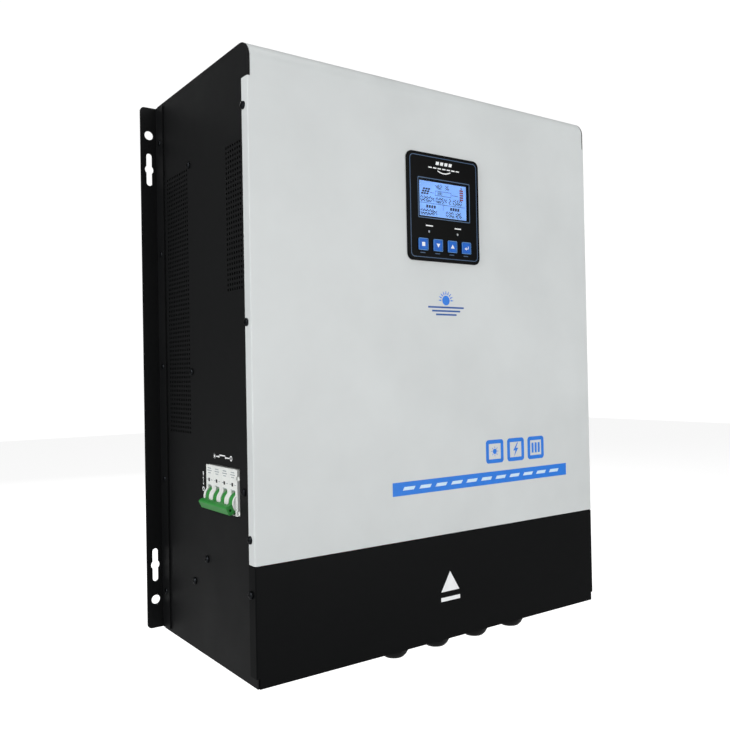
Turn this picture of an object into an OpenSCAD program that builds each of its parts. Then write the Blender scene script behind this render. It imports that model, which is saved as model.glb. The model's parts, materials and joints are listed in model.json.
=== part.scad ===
// Wall-mounted solar charge controller.
// Origin: the centre of the four round wall holes, on the wall plane.
// +Z is up, the front faces -Y and the load-breaker side is -X.

/* [Cabinet] */
// Width over the two side panels
body_w = 475; // [430:1:580]
// Height of the cabinet
body_h = 610; // [500:1:740]
// Depth from the wall plane to the front skin
body_d = 235; // [225:1:290]
// Thickness of the side, top, bottom and rear sheets
sheet = 1.5; // [1:0.1:2]
// Thickness of the front cover and terminal cover sheets
cover_t = 1.2; // [0.8:0.1:1.6]
// Outer radius of the bend at the top of the front cover
bend_r = 18; // [12:1:24]
// Depth of the cover's return over the top
top_return = 40; // [25:1:60]
// Height of the lower terminal cover
terminal_h = 114; // [95:1:140]
// Depth of the side lips of both covers
lip_d = 12; // [10:0.5:16]
// Distance from the top of the cabinet to the top of the side lips
lip_drop = 36; // [28:1:60]

/* [Wall brackets] */
// Width of each flange beside the cabinet
flange_w = 20.5; // [18:0.5:30]
// Length of the leg along each side panel
leg_d = 22; // [16:1:30]
// Thickness of the bracket sheet
bracket_t = 2; // [1.5:0.1:3]
// Diameter of the round wall holes and of the keyhole heads
wall_hole_d = 10.5; // [8:0.5:12]
// Horizontal distance between the wall holes, less the cabinet width
wall_hole_over = 21; // [18:0.5:28]
// Distance from the top or bottom of the cabinet to the round wall holes
wall_hole_inset = 35; // [25:1:60]
// Vertical distance from a round wall hole to the next keyhole
keyhole_step = 40; // [34:1:60]
// Length of the keyhole slots
keyhole_len = 38; // [30:1:50]
// Width of the keyhole slots
keyhole_w = 7; // [5:0.5:9]

/* [Vents] */
// Distance between vent holes
vent_pitch = 7.2; // [6.6:0.1:9]
// Side of a square vent hole
vent_hole = 3.8; // [3:0.1:4.4]
// Columns of holes in the rear field
rear_columns = 8; // [4:1:8]
// Rows of holes in the rear field
rear_rows = 40; // [10:1:44]
// Columns of holes in the front field
front_columns = 5; // [2:1:5]
// Rows of holes in the front field
front_rows = 20; // [5:1:24]

/* [Display] */
// Width of the display bezel
bezel_w = 103.5; // [98:0.5:110]
// Height of the display bezel
bezel_h = 118; // [112:0.5:126]
// Distance from the top of the cabinet to the middle of the bezel
bezel_drop = 137.5; // [120:0.5:160]
// Side of the square buttons
button_s = 12; // [10:0.5:13]
// Distance between buttons
button_pitch = 20.8; // [18:0.1:22]
// Travel of a button
button_travel = 0.8; // [0.4:0.1:1]

/* [Breaker] */
// Number of poles
poles = 4; // [2:1:4]
// Width of one pole
pole_w = 18; // [17.5:0.1:18.5]
// Height of the breaker's front face
breaker_face_h = 45; // [44:0.5:46]
// Distance from the bottom of the cabinet to the middle of the breaker
breaker_rise = 179; // [165:1:200]
// Distance from the wall plane to the middle of the breaker
breaker_y = 165.5; // [150:0.5:170]

/* [Cooling] */
// Side of a fan
fan_s = 92; // [80:1:92]
// Thickness of a fan
fan_t = 25; // [20:1:32]
// Distance between the two fans
fan_pitch = 150; // [110:1:200]

/* [Cable glands] */
// Number of glands
glands = 4; // [2:1:5]
// Distance between glands
gland_pitch = 61.5; // [50:0.5:66]
// Distance from the middle of the cabinet to the middle of the row
gland_x = 57.5; // [0:0.5:80]
// Distance from the wall plane to the row
gland_y = 175; // [150:1:180]
// Bore of the seals, which is the thickest cable
gland_bore_d = 16; // [12:0.5:17]

/* [Hidden] */
$fn = 48;

half_w = body_w / 2;
half_h = body_h / 2;
in_x = half_w - sheet;
front_y = -body_d;
skin_y = front_y + cover_t;
rear_y = -bracket_t;
floor_z = -half_h + sheet;
top_z = half_h - cover_t;
lip_z = half_h - lip_drop;
split_z = -half_h + terminal_h;
// Clearances: between sheets that slide past each other, and round a screw
slide_gap = 0.3;
screw_gap = 0.25;
split_gap = 0.4;
// Screw sizes: shank and head radius and head height
m3 = [1.5, 2.8, 1.8];
m4 = [2, 3.9, 2.4];

cover_hw = half_w + slide_gap + cover_t;
inner_hw = in_x - slide_gap;
lip_screw_y = front_y + 8.7;
lip_screw_zs = [half_h - 62.3, half_h - 267.2, split_z + 24];
low_lip_screw_z = split_z - 27.5;
tray_y = -98;
tray_screw_y = tray_y + 6;
tray_screw_zs = [half_h - 88.5, half_h - 312.4, -half_h + 73];
rivet_y = -12;
rivet_zs = [for (i = [-2:2]) i * (half_h - 45) / 2];

vent_top = half_h - 92;
rear_vent_y = -58.5;
front_vent_y = -199.5;

bezel_t = 2.4;
bezel_z = half_h - bezel_drop;
collar_d = 9.5;
board_y = front_y + collar_d;
board_t = 1.6;
window_dz = 9.6;
window_w = 70.6;
window_h = 40.4;
led_dz = -26.8;
led_r = 1.5;
led_xs = [-22.3, 19];
button_dz = -41.4;
button_x0 = -0.9;
button_proud = 1.5;
button_gap = 0.3;
// A tactile switch: its side, its height and its stem
switch_s = 6;
switch_h = 3;
switch_stem = 1.1;
switch_stem_r = 1.75;
boss_xs = bezel_w / 2 - 8.5;
boss_dz = bezel_h / 2 - 8;

breaker_proud = 2;
breaker_x = -half_w - breaker_proud;
breaker_z = -half_h + breaker_rise;
breaker_w = poles * pole_w;
nose_d = 17;
breaker_depth = 63.5;
rail_x = breaker_x + breaker_depth - 4;
pivot_x = breaker_x + 7;
pivot_z = breaker_z - 10;
hump_r = 10.5;
barrel_r = 10;
barrel_w = 8;
lever_h = 8;
// The bar that ties the levers: its radial thickness and its height, just clear of the humps
bar_t = 6.6;
bar_h = 9.5;
bar_in = hump_r + 0.3;
bar_bore_r = 1.3;
lever_angle = -27;
window_gap = 1;
// How far the rail runs past the breaker in front of it and behind it
rail_ends = [3, 12.5];
bracket_screws = [[-211.8, breaker_z + 2], [-125.2, breaker_z - 77]];

fan_y = -50.75;
fan_z = floor_z;
fan_bore_r = fan_s / 2 - 2;
rotor_r = fan_bore_r - 1;
fan_hole = fan_s / 2 - 4.75;

standoff = 8;
plate_y = tray_y - sheet;
pcb_y = plate_y - standoff;
pcb_top = half_h - 34;
pcb_bottom = -half_h + 158;
pcb_hw = in_x - 38;
comp_y = pcb_y - board_t;

gland_xs = [for (i = [0:glands - 1]) gland_x + (i - (glands - 1) / 2) * gland_pitch];
gland_r = 14.1;
gland_panel_gap = 0.3;
gland_flange_h = 6;
gland_body_bore = 10.5;
gland_len = 28;

terminals = 8;
terminal_pitch = 24;
block_h = 40;
block_d = 35;
block_top = -half_h + 84;
block_x0 = gland_x - terminals * terminal_pitch / 2;
block_mid_y = plate_y - 18;
earth_x = -195;
earth_z = -half_h + 62;

sink_hw = 170;
sink_bottom = floor_z + fan_t + 24;
sink_top = half_h - 44;
sink_base = 8;
fin_tip = -14;
fin_t = 2;
fin_pitch = 9.3;
standoff_zs = [pcb_bottom + 8, (pcb_bottom + pcb_top) / 2, pcb_top - 8];
standoff_x = pcb_hw - 8;
transistor_xs = [for (i = [0:7]) -70 + i * 26];
transistor_z = pcb_bottom - 14;
chip_t = 2.2;
core_r = 34;
core_bore_r = 17;
core_h = 30;
coil_wire = 2;
coil_turns = 17;

// ---------------------------------------------------------------- helpers

// A box between two corners
module block(lo, hi) {
  translate(lo) cube(hi - lo);
}

// A rectangle with round corners, centred
module round_rect(w, h, r) {
  square([w - 2 * r, h], center = true);
  square([w, h - 2 * r], center = true);
  for (x = [-1, 1], z = [-1, 1])
    translate([x * (w / 2 - r), z * (h / 2 - r)]) circle(r);
}

// A drawing of (x, z), extruded towards -Y from a plane
module facing_front(y, t) {
  translate([0, y, 0]) rotate([90, 0, 0]) linear_extrude(t) children();
}

// A drawing of (y, z), extruded towards +X from a plane
module facing_side(x, t) {
  translate([x, 0, 0]) rotate([90, 0, 90]) linear_extrude(t) children();
}

// A quarter ring of a sheet bend, from +X round to +Y
module bend(r, t) {
  intersection() {
    difference() {
      circle(r);
      circle(r - t);
    }
    square(r);
  }
}

// Puts its children at a point on a side panel's outer face, with +Z outwards
module on_side(side, y, z, out = 0) {
  translate([side * (half_w + out), y, z]) rotate([0, side * 90, 0]) children();
}

// Puts its children on a plane that faces the front, with +Z towards the front
module on_front(x, y, z) {
  translate([x, y, z]) rotate([90, 0, 0]) children();
}

// A pan-head screw along Z, with its head above z = 0 and a cross recess
module pan_screw(size, length) {
  difference() {
    rotate_extrude() polygon([
      [0, -length], [size[0] - 0.3, -length], [size[0], -length + 0.5], [size[0], 0], [size[1], 0],
      [size[1], 0.45 * size[2]], [0.8 * size[1], 0.85 * size[2]], [0.45 * size[1], size[2]],
      [0, size[2]]
    ]);
    for (turn = [0, 90])
      rotate([0, 0, turn]) translate([-0.5 * size[1], -0.35, 0.45 * size[2]])
        cube([size[1], 0.7, size[2]]);
  }
}

// A hexagon nut along Z, standing on z = 0
module hex_nut(flats, h, bore_r) {
  difference() {
    cylinder(r = flats / sqrt(3), h = h, $fn = 6);
    translate([0, 0, -1]) cylinder(r = bore_r, h = h + 2);
  }
}

// A field of square vent holes in a drawing, with its top edge at z = 0
module vent_field(columns, rows) {
  for (i = [0:columns - 1], k = [0:rows - 1])
    translate([(i - (columns - 1) / 2) * vent_pitch - vent_hole / 2, -k * vent_pitch - vent_hole])
      square(vent_hole);
}

// Two flanges inside the side panels, between two heights and two depths
module side_flanges(z0, z1, y0, y1) {
  for (side = [-1, 1])
    translate([side < 0 ? -in_x : in_x - sheet, y0, z0]) cube([sheet, y1 - y0, z1 - z0]);
}

// ---------------------------------------------------------------- cabinet

// The outline of a side panel: its front edge is set back behind the cover skin up to the
// lips, and above them it comes flush with the bend
module side_outline() {
  difference() {
    translate([front_y, -half_h]) square([body_d + rear_y, body_h]);
    translate([front_y - 1, -half_h - 1]) square([1 + cover_t + slide_gap, lip_z + half_h + 1]);
    translate([front_y, half_h - bend_r]) difference() {
      translate([-1, 0]) square([bend_r + 1, bend_r + 1]);
      translate([bend_r, 0]) circle(bend_r);
    }
  }
}

module side_panel(side) {
  facing_side(side < 0 ? -half_w : in_x, sheet) difference() {
    side_outline();
    translate([rear_vent_y, vent_top]) vent_field(rear_columns, rear_rows);
    translate([front_vent_y, vent_top]) vent_field(front_columns, front_rows);
    for (z = concat(lip_screw_zs, [low_lip_screw_z]))
      translate([lip_screw_y, z]) circle(m4[0] + screw_gap);
    for (z = tray_screw_zs) translate([tray_screw_y, z]) circle(m4[0] + screw_gap);
    for (z = rivet_zs) translate([rivet_y, z]) circle(m4[0] + screw_gap);
    if (side < 0) {
      translate([-breaker_y, breaker_z])
        square([breaker_w + 2 * window_gap, breaker_face_h + 2 * window_gap], center = true);
      for (p = bracket_screws) translate(p) circle(m4[0] + screw_gap);
    }
  }
}

module left_side_panel() {
  color("#1b1c1d") side_panel(-1);
}

module right_side_panel() {
  color("#1b1c1d") side_panel(1);
}

module rear_panel() {
  color("#1b1c1d") difference() {
    union() {
      block([-in_x, rear_y - sheet, floor_z], [in_x, rear_y, top_z - sheet]);
      side_flanges(-half_h + 30, half_h - 30, rear_y - 20, rear_y - sheet / 2);
    }
    for (side = [-1, 1], z = rivet_zs)
      on_side(side, rivet_y, z, -10) cylinder(r = m4[0] + screw_gap, h = 20);
  }
}

module top_panel() {
  color("#1b1c1d") {
    block([-in_x, front_y + bend_r + 6, top_z - sheet], [in_x, rear_y, top_z]);
    side_flanges(top_z - 12, top_z - sheet / 2, front_y + bend_r + 20, tray_y - 6);
  }
}

module bottom_panel() {
  color("#1b1c1d") difference() {
    union() {
      block([-in_x, front_y + lip_d + 3, -half_h], [in_x, rear_y, floor_z]);
      side_flanges(floor_z - sheet / 2, floor_z + 12, front_y + lip_d + 20, tray_y - 6);
    }
    for (x = gland_xs) translate([x, -gland_y, -half_h - 1])
      cylinder(r = gland_r + gland_panel_gap, h = sheet + 2);
    for (side = [-1, 1]) translate([side * fan_pitch / 2, fan_y, -half_h - 1]) {
      cylinder(r = fan_bore_r, h = sheet + 2);
      for (a = [-1, 1], b = [-1, 1]) translate([a * fan_hole, b * fan_hole, 0])
        cylinder(r = m4[0] + screw_gap, h = sheet + 2);
    }
  }
}

// The drawing of a bracket flange: round holes at the ends and double-ended keyholes beside them
module flange_outline() {
  hole_x = wall_hole_over / 2;
  difference() {
    union() {
      square([flange_w - 5, body_h - 5]);
      translate([flange_w - 5, 5]) square([5, body_h - 15]);
      for (z = [5, body_h - 10]) translate([flange_w - 5, z]) circle(5);
    }
    for (z = [wall_hole_inset - 2.5, body_h - 2.5 - wall_hole_inset]) {
      inward = z < half_h ? 1 : -1;
      translate([hole_x, z]) circle(d = wall_hole_d);
      translate([hole_x, z + inward * keyhole_step]) {
        circle(d = wall_hole_d);
        square([keyhole_w, keyhole_len - keyhole_w], center = true);
        for (end = [-1, 1]) translate([0, end * (keyhole_len - keyhole_w) / 2])
          circle(d = keyhole_w);
      }
    }
  }
}

module wall_bracket() {
  translate([half_w, 0, -half_h + 2.5]) rotate([90, 0, 0]) linear_extrude(bracket_t)
    flange_outline();
  difference() {
    facing_side(half_w, bracket_t) difference() {
      translate([-leg_d, -half_h + 2.5]) square([leg_d, body_h - 5]);
      for (z = rivet_zs) translate([rivet_y, z]) circle(m4[0] + screw_gap);
    }
    for (end = [0, 1]) mirror([0, 0, end]) translate([half_w - 1, -leg_d, half_h - 6.5])
      difference() {
        translate([0, -1, 0]) cube([bracket_t + 2, 5, 5]);
        translate([-1, 4, 0]) rotate([0, 90, 0]) cylinder(r = 4, h = bracket_t + 4);
      }
  }
}

module left_wall_bracket() {
  color("#18191a") mirror([1, 0, 0]) wall_bracket();
}

module right_wall_bracket() {
  color("#18191a") wall_bracket();
}

module bracket_rivets() {
  color("#141516") for (side = [-1, 1], z = rivet_zs)
    on_side(side, rivet_y, z, bracket_t) rotate_extrude() polygon([
      [0, -bracket_t - 2 * sheet - 1], [m4[0], -bracket_t - 2 * sheet - 1], [m4[0], 0],
      [3.6, 0], [3.2, 0.7], [2, 1.1], [0, 1.2]
    ]);
}

// ---------------------------------------------------------------- covers

module front_cover() {
  bezel_hole_w = bezel_w - 6;
  bezel_hole_h = bezel_h - 6;
  color("#d4d8d9") difference() {
    union() {
      block([-cover_hw, front_y, split_z + split_gap], [cover_hw, skin_y, lip_z]);
      for (side = [-1, 1])
        translate([side < 0 ? -cover_hw : cover_hw - cover_t, front_y, split_z + split_gap])
          cube([cover_t, lip_d, lip_z - split_z - split_gap]);
      translate([4 - cover_hw, front_y, split_z + split_gap])
        cube([2 * cover_hw - 8, lip_d - 2, cover_t]);
      facing_side(-inner_hw, 2 * inner_hw) {
        translate([front_y, lip_z - 1]) square([cover_t, lip_drop - bend_r + 1]);
        translate([front_y + bend_r, half_h - bend_r]) mirror([1, 0]) bend(bend_r, cover_t);
        translate([front_y + bend_r, top_z]) square([top_return, cover_t]);
      }
    }
    facing_front(skin_y + 1, cover_t + 2) translate([0, bezel_z])
      square([bezel_hole_w, bezel_hole_h], center = true);
    for (side = [-1, 1], z = lip_screw_zs) on_side(side, lip_screw_y, z, -2)
      cylinder(r = m4[0] + screw_gap, h = 6);
  }
}

module terminal_cover() {
  lip_bottom = -half_h + 9.6;
  color("#1e2022") difference() {
    union() {
      block([-cover_hw, front_y, lip_bottom], [cover_hw, skin_y, split_z - split_gap]);
      block([-inner_hw, front_y, -half_h], [inner_hw, skin_y, lip_bottom + 1]);
      for (side = [-1, 1])
        translate([side < 0 ? -cover_hw : cover_hw - cover_t, front_y, lip_bottom])
          cube([cover_t, lip_d + 1, split_z - split_gap - lip_bottom]);
      block([-inner_hw, front_y, -half_h], [inner_hw, front_y + lip_d + 2, -half_h + cover_t]);
    }
    for (side = [-1, 1]) on_side(side, lip_screw_y, low_lip_screw_z, -2)
      cylinder(r = m4[0] + screw_gap, h = 6);
  }
}

module cover_screws() {
  color("#2a2b2d") for (side = [-1, 1], z = lip_screw_zs)
    on_side(side, lip_screw_y, z, slide_gap + cover_t) pan_screw(m4, 8);
}

module terminal_cover_screws() {
  color("#2a2b2d") for (side = [-1, 1])
    on_side(side, lip_screw_y, low_lip_screw_z, slide_gap + cover_t) pan_screw(m4, 8);
}

// ---------------------------------------------------------------- display

module display_bezel() {
  wall = 2;
  collar_w = bezel_w - 7;
  collar_h = bezel_h - 7;
  color("#15171a") difference() {
    union() {
      facing_front(front_y, bezel_t) translate([0, bezel_z]) round_rect(bezel_w, bezel_h, 7.5);
      facing_front(board_y, collar_d) translate([0, bezel_z]) difference() {
        square([collar_w, collar_h], center = true);
        square([collar_w - 2 * wall, collar_h - 2 * wall], center = true);
      }
      for (x = [-1, 1], z = [-1, 1]) on_front(x * boss_xs, board_y, bezel_z + z * boss_dz)
        cylinder(r = 3.5, h = collar_d);
    }
    facing_front(front_y + 1, bezel_t + 2) translate([0, bezel_z]) {
      translate([0, window_dz]) square([window_w, window_h], center = true);
      for (x = led_xs) translate([x, led_dz]) circle(led_r + screw_gap);
      for (i = [0:3]) translate([button_x(i), button_dz])
        square(button_s + 2 * button_gap, center = true);
    }
    facing_front(front_y + 1, 2.4) translate([0, bezel_z + window_dz])
      square([window_w + 5, window_h + 4], center = true);
    for (x = [-1, 1], z = [-1, 1]) on_front(x * boss_xs, board_y + 1, bezel_z + z * boss_dz)
      cylinder(r = m3[0] + 0.05, h = 9);
  }
}

module display_window() {
  color("#20262e", 0.6) facing_front(front_y, 1.4) translate([0, bezel_z + window_dz])
    square([window_w + 4.6, window_h + 3.6], center = true);
}

module lcd_module() {
  // Half the frame's width, half the lit area's width and height, and the lit area's depth
  frame_hw = 40;
  lit_hw = 34.4;
  lit_hh = 19.2;
  lit_d = 0.9;
  color("#82b0f5") translate([0, front_y, bezel_z + window_dz]) difference() {
    block([-frame_hw, 0.4, -25], [frame_hw, collar_d, 24]);
    block([-lit_hw, 0, -lit_hh], [lit_hw, lit_d, lit_hh]);
  }
}

module display_board() {
  color("#1d5c37") difference() {
    facing_front(board_y + board_t, board_t) translate([0, bezel_z])
      square([bezel_w - 8, bezel_h - 8], center = true);
    for (x = [-1, 1], z = [-1, 1]) on_front(x * boss_xs, board_y + 3, bezel_z + z * boss_dz)
      cylinder(r = m3[0] + screw_gap, h = 6);
  }
}

module display_screws() {
  color("#b9bcc0") for (x = [-1, 1], z = [-1, 1])
    translate([x * boss_xs, board_y + board_t, bezel_z + z * boss_dz]) rotate([-90, 0, 0])
      pan_screw(m3, 8);
}

module tact_switches() {
  color("#2c2f33") for (i = [0:3]) translate([button_x(i), board_y, bezel_z + button_dz]) {
    block([-switch_s / 2, -switch_h, -switch_s / 2], [switch_s / 2, 0, switch_s / 2]);
    on_front(0, 0.1 - switch_h, 0) cylinder(r = switch_stem_r, h = switch_stem + 0.1);
  }
}

module indicator_leds() {
  color("#3bd16f") for (x = led_xs) on_front(x, board_y, bezel_z + led_dz) {
    cylinder(r = led_r, h = collar_d + 1);
    translate([0, 0, collar_d + 0.9]) intersection() {
      sphere(led_r);
      cylinder(r = led_r + 0.5, h = led_r + 0.5);
    }
    cylinder(r = led_r + 0.4, h = 1);
  }
}

function button_x(i) = button_x0 + (i - 1.5) * button_pitch;

// A square cap with a retaining flange behind the bezel and a plunger over its switch
module button(i) {
  cap_front = bezel_t + button_proud;
  plunger_end = collar_d - switch_h - switch_stem - button_travel - 0.3;
  color("#1464c8") translate([button_x(i), front_y, bezel_z + button_dz]) {
    rotate([90, 0, 0]) {
      translate([0, 0, cap_front - 1]) linear_extrude(1)
        round_rect(button_s - 0.6, button_s - 0.6, 1.2);
      translate([0, 0, -0.4]) linear_extrude(cap_front - 0.5) round_rect(button_s, button_s, 1.2);
    }
    block([-button_s / 2 - 1, 0.2, -button_s / 2 - 1], [button_s / 2 + 1, 1.2, button_s / 2 + 1]);
    block([-2, 1, -2], [2, plunger_end, 2]);
  }
}

module menu_button() {
  button(0);
}

module down_button() {
  button(1);
}

module up_button() {
  button(2);
}

module enter_button() {
  button(3);
}

// ---------------------------------------------------------------- breaker

// One pole in its own frame: the face at x = 0, the body towards +X, its width along +Y and
// the middle of the face at z = 0. A round hump stands out of the face with the toggle's slot
// in it. On the foremost pole the hump stops short and the edge of the face is notched.
module pole_body(foremost) {
  face = breaker_face_h / 2;
  shoulder = 42.5;
  rail = 17.7;
  w = pole_w - 0.2;
  hump_y = foremost ? w / 2 - 7 : 0;
  difference() {
    union() {
      rotate([90, 0, 0]) mirror([0, 0, 1]) linear_extrude(w) polygon([
        [0, -face], [0, face], [nose_d, face], [nose_d, shoulder], [breaker_depth - 8, shoulder],
        [breaker_depth, shoulder - 14], [breaker_depth, rail], [breaker_depth - 4, rail],
        [breaker_depth - 4, -rail], [breaker_depth, -rail], [breaker_depth, 14 - shoulder],
        [breaker_depth - 8, -shoulder], [nose_d, -shoulder], [nose_d, -face]
      ]);
      translate([pivot_x - breaker_x, hump_y, pivot_z - breaker_z]) rotate([-90, 0, 0])
        cylinder(r = hump_r, h = w - hump_y);
    }
    translate([pivot_x - breaker_x, (w - barrel_w) / 2 - 0.4, pivot_z - breaker_z])
      rotate([-90, 0, 0]) {
        cylinder(r = barrel_r + 0.4, h = barrel_w + 0.8);
        translate([-hump_r - 1, -hump_r - 1, 0]) cube([hump_r + 1, 2 * hump_r + 2, barrel_w + 0.8]);
      }
    for (z = [-1, 1]) translate([nose_d + 9, w / 2, z * (shoulder - 9)])
      mirror([0, 0, z < 0 ? 1 : 0]) cylinder(r = 4.2, h = 10);
    translate([-1, w / 2 + 0.6, 6]) cube([2, 2.6, 2.6]);
    if (foremost) for (z = [12, -21.5]) translate([-1, -1, z]) cube([3.5, 3.6, 4]);
  }
}

module at_poles() {
  for ($pole = [0:poles - 1])
    translate([breaker_x, -breaker_y - breaker_w / 2 + $pole * pole_w + 0.1, breaker_z]) children();
}

module breaker_body() {
  color("#e9ecea") at_poles() pole_body($pole == 0);
}

// The toggles turn together: a round-cornered bar in front of the humps ties their levers
module breaker_toggles() {
  bar_y = -breaker_y - breaker_w / 2 + 4.5;
  bar_len = breaker_w - 7.5;
  bar_mid = bar_in + bar_t / 2;
  color("#3f9145") difference() {
    union() {
      at_poles() translate([pivot_x - breaker_x, (pole_w - 0.2 - barrel_w) / 2, pivot_z - breaker_z])
        at_lever() {
          cylinder(r = barrel_r, h = barrel_w);
          translate([0, -lever_h / 2, 0]) cube([bar_in + 1, lever_h, barrel_w]);
        }
      translate([pivot_x, bar_y, pivot_z]) at_lever() linear_extrude(bar_len)
        translate([bar_mid, 0]) round_rect(bar_t, bar_h, 2);
    }
    translate([pivot_x, bar_y, pivot_z]) at_lever() for (z = [-1, bar_len - 5])
      translate([bar_mid, 0, z]) cylinder(r = bar_bore_r, h = 6);
  }
}

// Turns +X to point along the levers at rest, with +Z along the pivot
module at_lever() {
  rotate([-90, 0, 0]) rotate([0, 0, 180 + lever_angle]) children();
}

module breaker_terminal_screws() {
  color("#c9ccd0") at_poles() for (z = [-1, 1])
    translate([nose_d + 9, pole_w / 2 - 0.1, z * 35.2]) rotate([z < 0 ? 180 : 0, 0, 0]) difference() {
      cylinder(r = 3.9, h = 4);
      translate([-4, -0.5, 2.8]) cube([8, 1, 2]);
    }
}

module din_rail() {
  len = breaker_w + rail_ends[0] + rail_ends[1];
  brim = 17.5;
  crown = 13.5;
  color("#c4c7ca") translate([rail_x, -breaker_y - breaker_w / 2 - rail_ends[0], breaker_z])
    rotate([-90, 0, 0]) linear_extrude(len) polygon([
      [0, brim], [1, brim], [1, crown], [7.5, crown], [7.5, -crown], [1, -crown], [1, -brim],
      [0, -brim], [0, 1 - crown], [6.5, 1 - crown], [6.5, crown - 1], [0, crown - 1]
    ]);
}

// The bracket that carries the rail: a bridge behind it, a web and a foot in front of the
// breaker, and a narrow leg with a web and a foot below its last pole
module breaker_bracket() {
  reach = rail_x + 7.5;
  y0 = -breaker_y - breaker_w / 2 - rail_ends[0] - sheet;
  y1 = -breaker_y + breaker_w / 2 + rail_ends[1];
  bridge_h = 24;
  leg_y = y1 - 15.5;
  leg_z = breaker_z - 64;
  color("#a9adb1") difference() {
    union() {
      block([reach, y0, breaker_z - bridge_h], [reach + sheet, y1, breaker_z + bridge_h]);
      block([-in_x, y0, breaker_z - bridge_h], [reach + sheet, y0 + sheet, breaker_z + bridge_h]);
      block([-in_x, y0 - 13, breaker_z - bridge_h], [-in_x + sheet, y0 + sheet, breaker_z + bridge_h]);
      block([reach, leg_y, leg_z], [reach + sheet, y1, breaker_z - bridge_h + 1]);
      block([-in_x, leg_y, leg_z], [reach + sheet, y1, leg_z + sheet]);
      block([-in_x, leg_y, leg_z - 24], [-in_x + sheet, y1, leg_z + sheet]);
    }
    for (p = bracket_screws) translate([-in_x - 1, p[0], p[1]]) rotate([0, 90, 0])
      cylinder(r = m4[0] + screw_gap, h = 4);
  }
}

module breaker_bracket_screws() {
  color("#2a2b2d") for (p = bracket_screws) on_side(-1, p[0], p[1]) pan_screw(m4, 7);
}

// ---------------------------------------------------------------- leads

// Rounds the corners of a route: each inner point becomes an arc-like curve of five points
function rounded(route, r) = concat(
  [route[0]],
  [for (i = [1:len(route) - 2], t = [0:0.25:1])
    let (
      a = route[i] + unit(route[i - 1] - route[i]) * r,
      c = route[i] + unit(route[i + 1] - route[i]) * r
    ) (1 - t) * (1 - t) * a + 2 * t * (1 - t) * route[i] + t * t * c],
  [route[len(route) - 1]]
);

function unit(v) = v / norm(v);

function heading(path, i) = unit(
  i == 0 ? path[1] - path[0]
  : i == len(path) - 1 ? path[i] - path[i - 1]
  : unit(path[i + 1] - path[i]) + unit(path[i] - path[i - 1])
);

// A round lead swept along a route of points
module lead(route, r) {
  sides = 8;
  path = rounded(route, 9);
  rings = [for (i = [0:len(path) - 1])
    let (
      ahead = heading(path, i),
      across = unit(cross(ahead, [0.35, 1, 0.2])),
      up = cross(across, ahead)
    ) for (k = [0:sides - 1])
      path[i] + r * (cos(360 * k / sides) * across + sin(360 * k / sides) * up)];
  last = (len(path) - 1) * sides;
  walls = [for (i = [0:len(path) - 2], k = [0:sides - 1])
    let (a = i * sides + k, b = i * sides + (k + 1) % sides) [a, b, b + sides, a + sides]];
  ends = [[for (k = [0:sides - 1]) sides - 1 - k], [for (k = [0:sides - 1]) last + k]];
  polyhedron(rings, concat(walls, ends));
}

module breaker_leads() {
  start_x = breaker_x + nose_d + 9;
  top = breaker_z - 42.5;
  run_z = top - 16;
  color("#b3261e") for (i = [0:poles - 1]) {
    y = -breaker_y - breaker_w / 2 + (i + 0.5) * pole_w;
    z = run_z - (poles - 1 - i) * 6;
    x = block_x0 + (poles - i - 0.5) * terminal_pitch;
    lead([[start_x, y, top + 2.8], [start_x, y, z], [x - 20, y, z], [x, block_mid_y, z - 9],
      [x, block_mid_y, block_top - 8]], 2.4);
  }
}

// ---------------------------------------------------------------- tray and power electronics

module mounting_tray() {
  color("#a9adb1") difference() {
    union() {
      block([-in_x, plate_y, floor_z + 14], [in_x, tray_y, top_z - sheet - 14]);
      side_flanges(floor_z + 14, top_z - sheet - 14, plate_y + sheet / 2, tray_y + 12);
    }
    for (side = [-1, 1], z = tray_screw_zs) on_side(side, tray_screw_y, z, -6)
      cylinder(r = m4[0] + screw_gap, h = 8);
    translate([earth_x, plate_y - 1, earth_z]) rotate([-90, 0, 0]) cylinder(r = 3.3, h = 4);
  }
}

module tray_screws() {
  color("#2a2b2d") for (side = [-1, 1], z = tray_screw_zs)
    on_side(side, tray_screw_y, z) pan_screw(m4, 7);
}

// The base plate lies on the rear of the tray, and the fins stand on it towards the wall
module heat_sink_base() {
  color("#bcbfc3") block([-sink_hw, tray_y, sink_bottom], [sink_hw, tray_y + sink_base, sink_top]);
}

module heat_sink_fins() {
  fins = floor((2 * sink_hw - fin_t) / fin_pitch) + 1;
  pitch = (2 * sink_hw - fin_t) / (fins - 1);
  foot = tray_y + sink_base;
  color("#c3c6c9") for (i = [0:fins - 1]) translate([i * pitch - sink_hw, foot, sink_bottom])
    cube([fin_t, fin_tip - foot, sink_top - sink_bottom]);
}

module power_board() {
  color("#1c5133") difference() {
    facing_front(pcb_y, board_t) difference() {
      translate([-pcb_hw, pcb_bottom]) square([2 * pcb_hw, pcb_top - pcb_bottom]);
      for (x = [-1, 1], z = standoff_zs) translate([x * standoff_x, z]) circle(m3[0] + screw_gap);
    }
  }
}

// Hexagon pillars between the tray and the board, each with its screw
module board_standoffs() {
  color("#c9a94f") for (x = [-1, 1], z = standoff_zs) on_front(x * standoff_x, plate_y, z) {
    cylinder(r = 3.2, h = standoff, $fn = 6);
    cylinder(r = m3[0], h = standoff + board_t + 0.5);
    translate([0, 0, standoff + board_t]) cylinder(r = m3[1], h = m3[2]);
  }
}

module bulk_capacitors() {
  color("#22386b") for (i = [0:2], k = [0:1])
    on_front(66 + i * 42, comp_y, pcb_top - 32 - k * 42) rotate_extrude()
      polygon([[0, 0], [17, 0], [17.5, 0.5], [17.5, 4], [16.7, 5], [17.5, 6], [17.5, 54], [16.8, 55],
        [15.2, 55], [15, 54.4], [0, 54.4]]);
}

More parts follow.
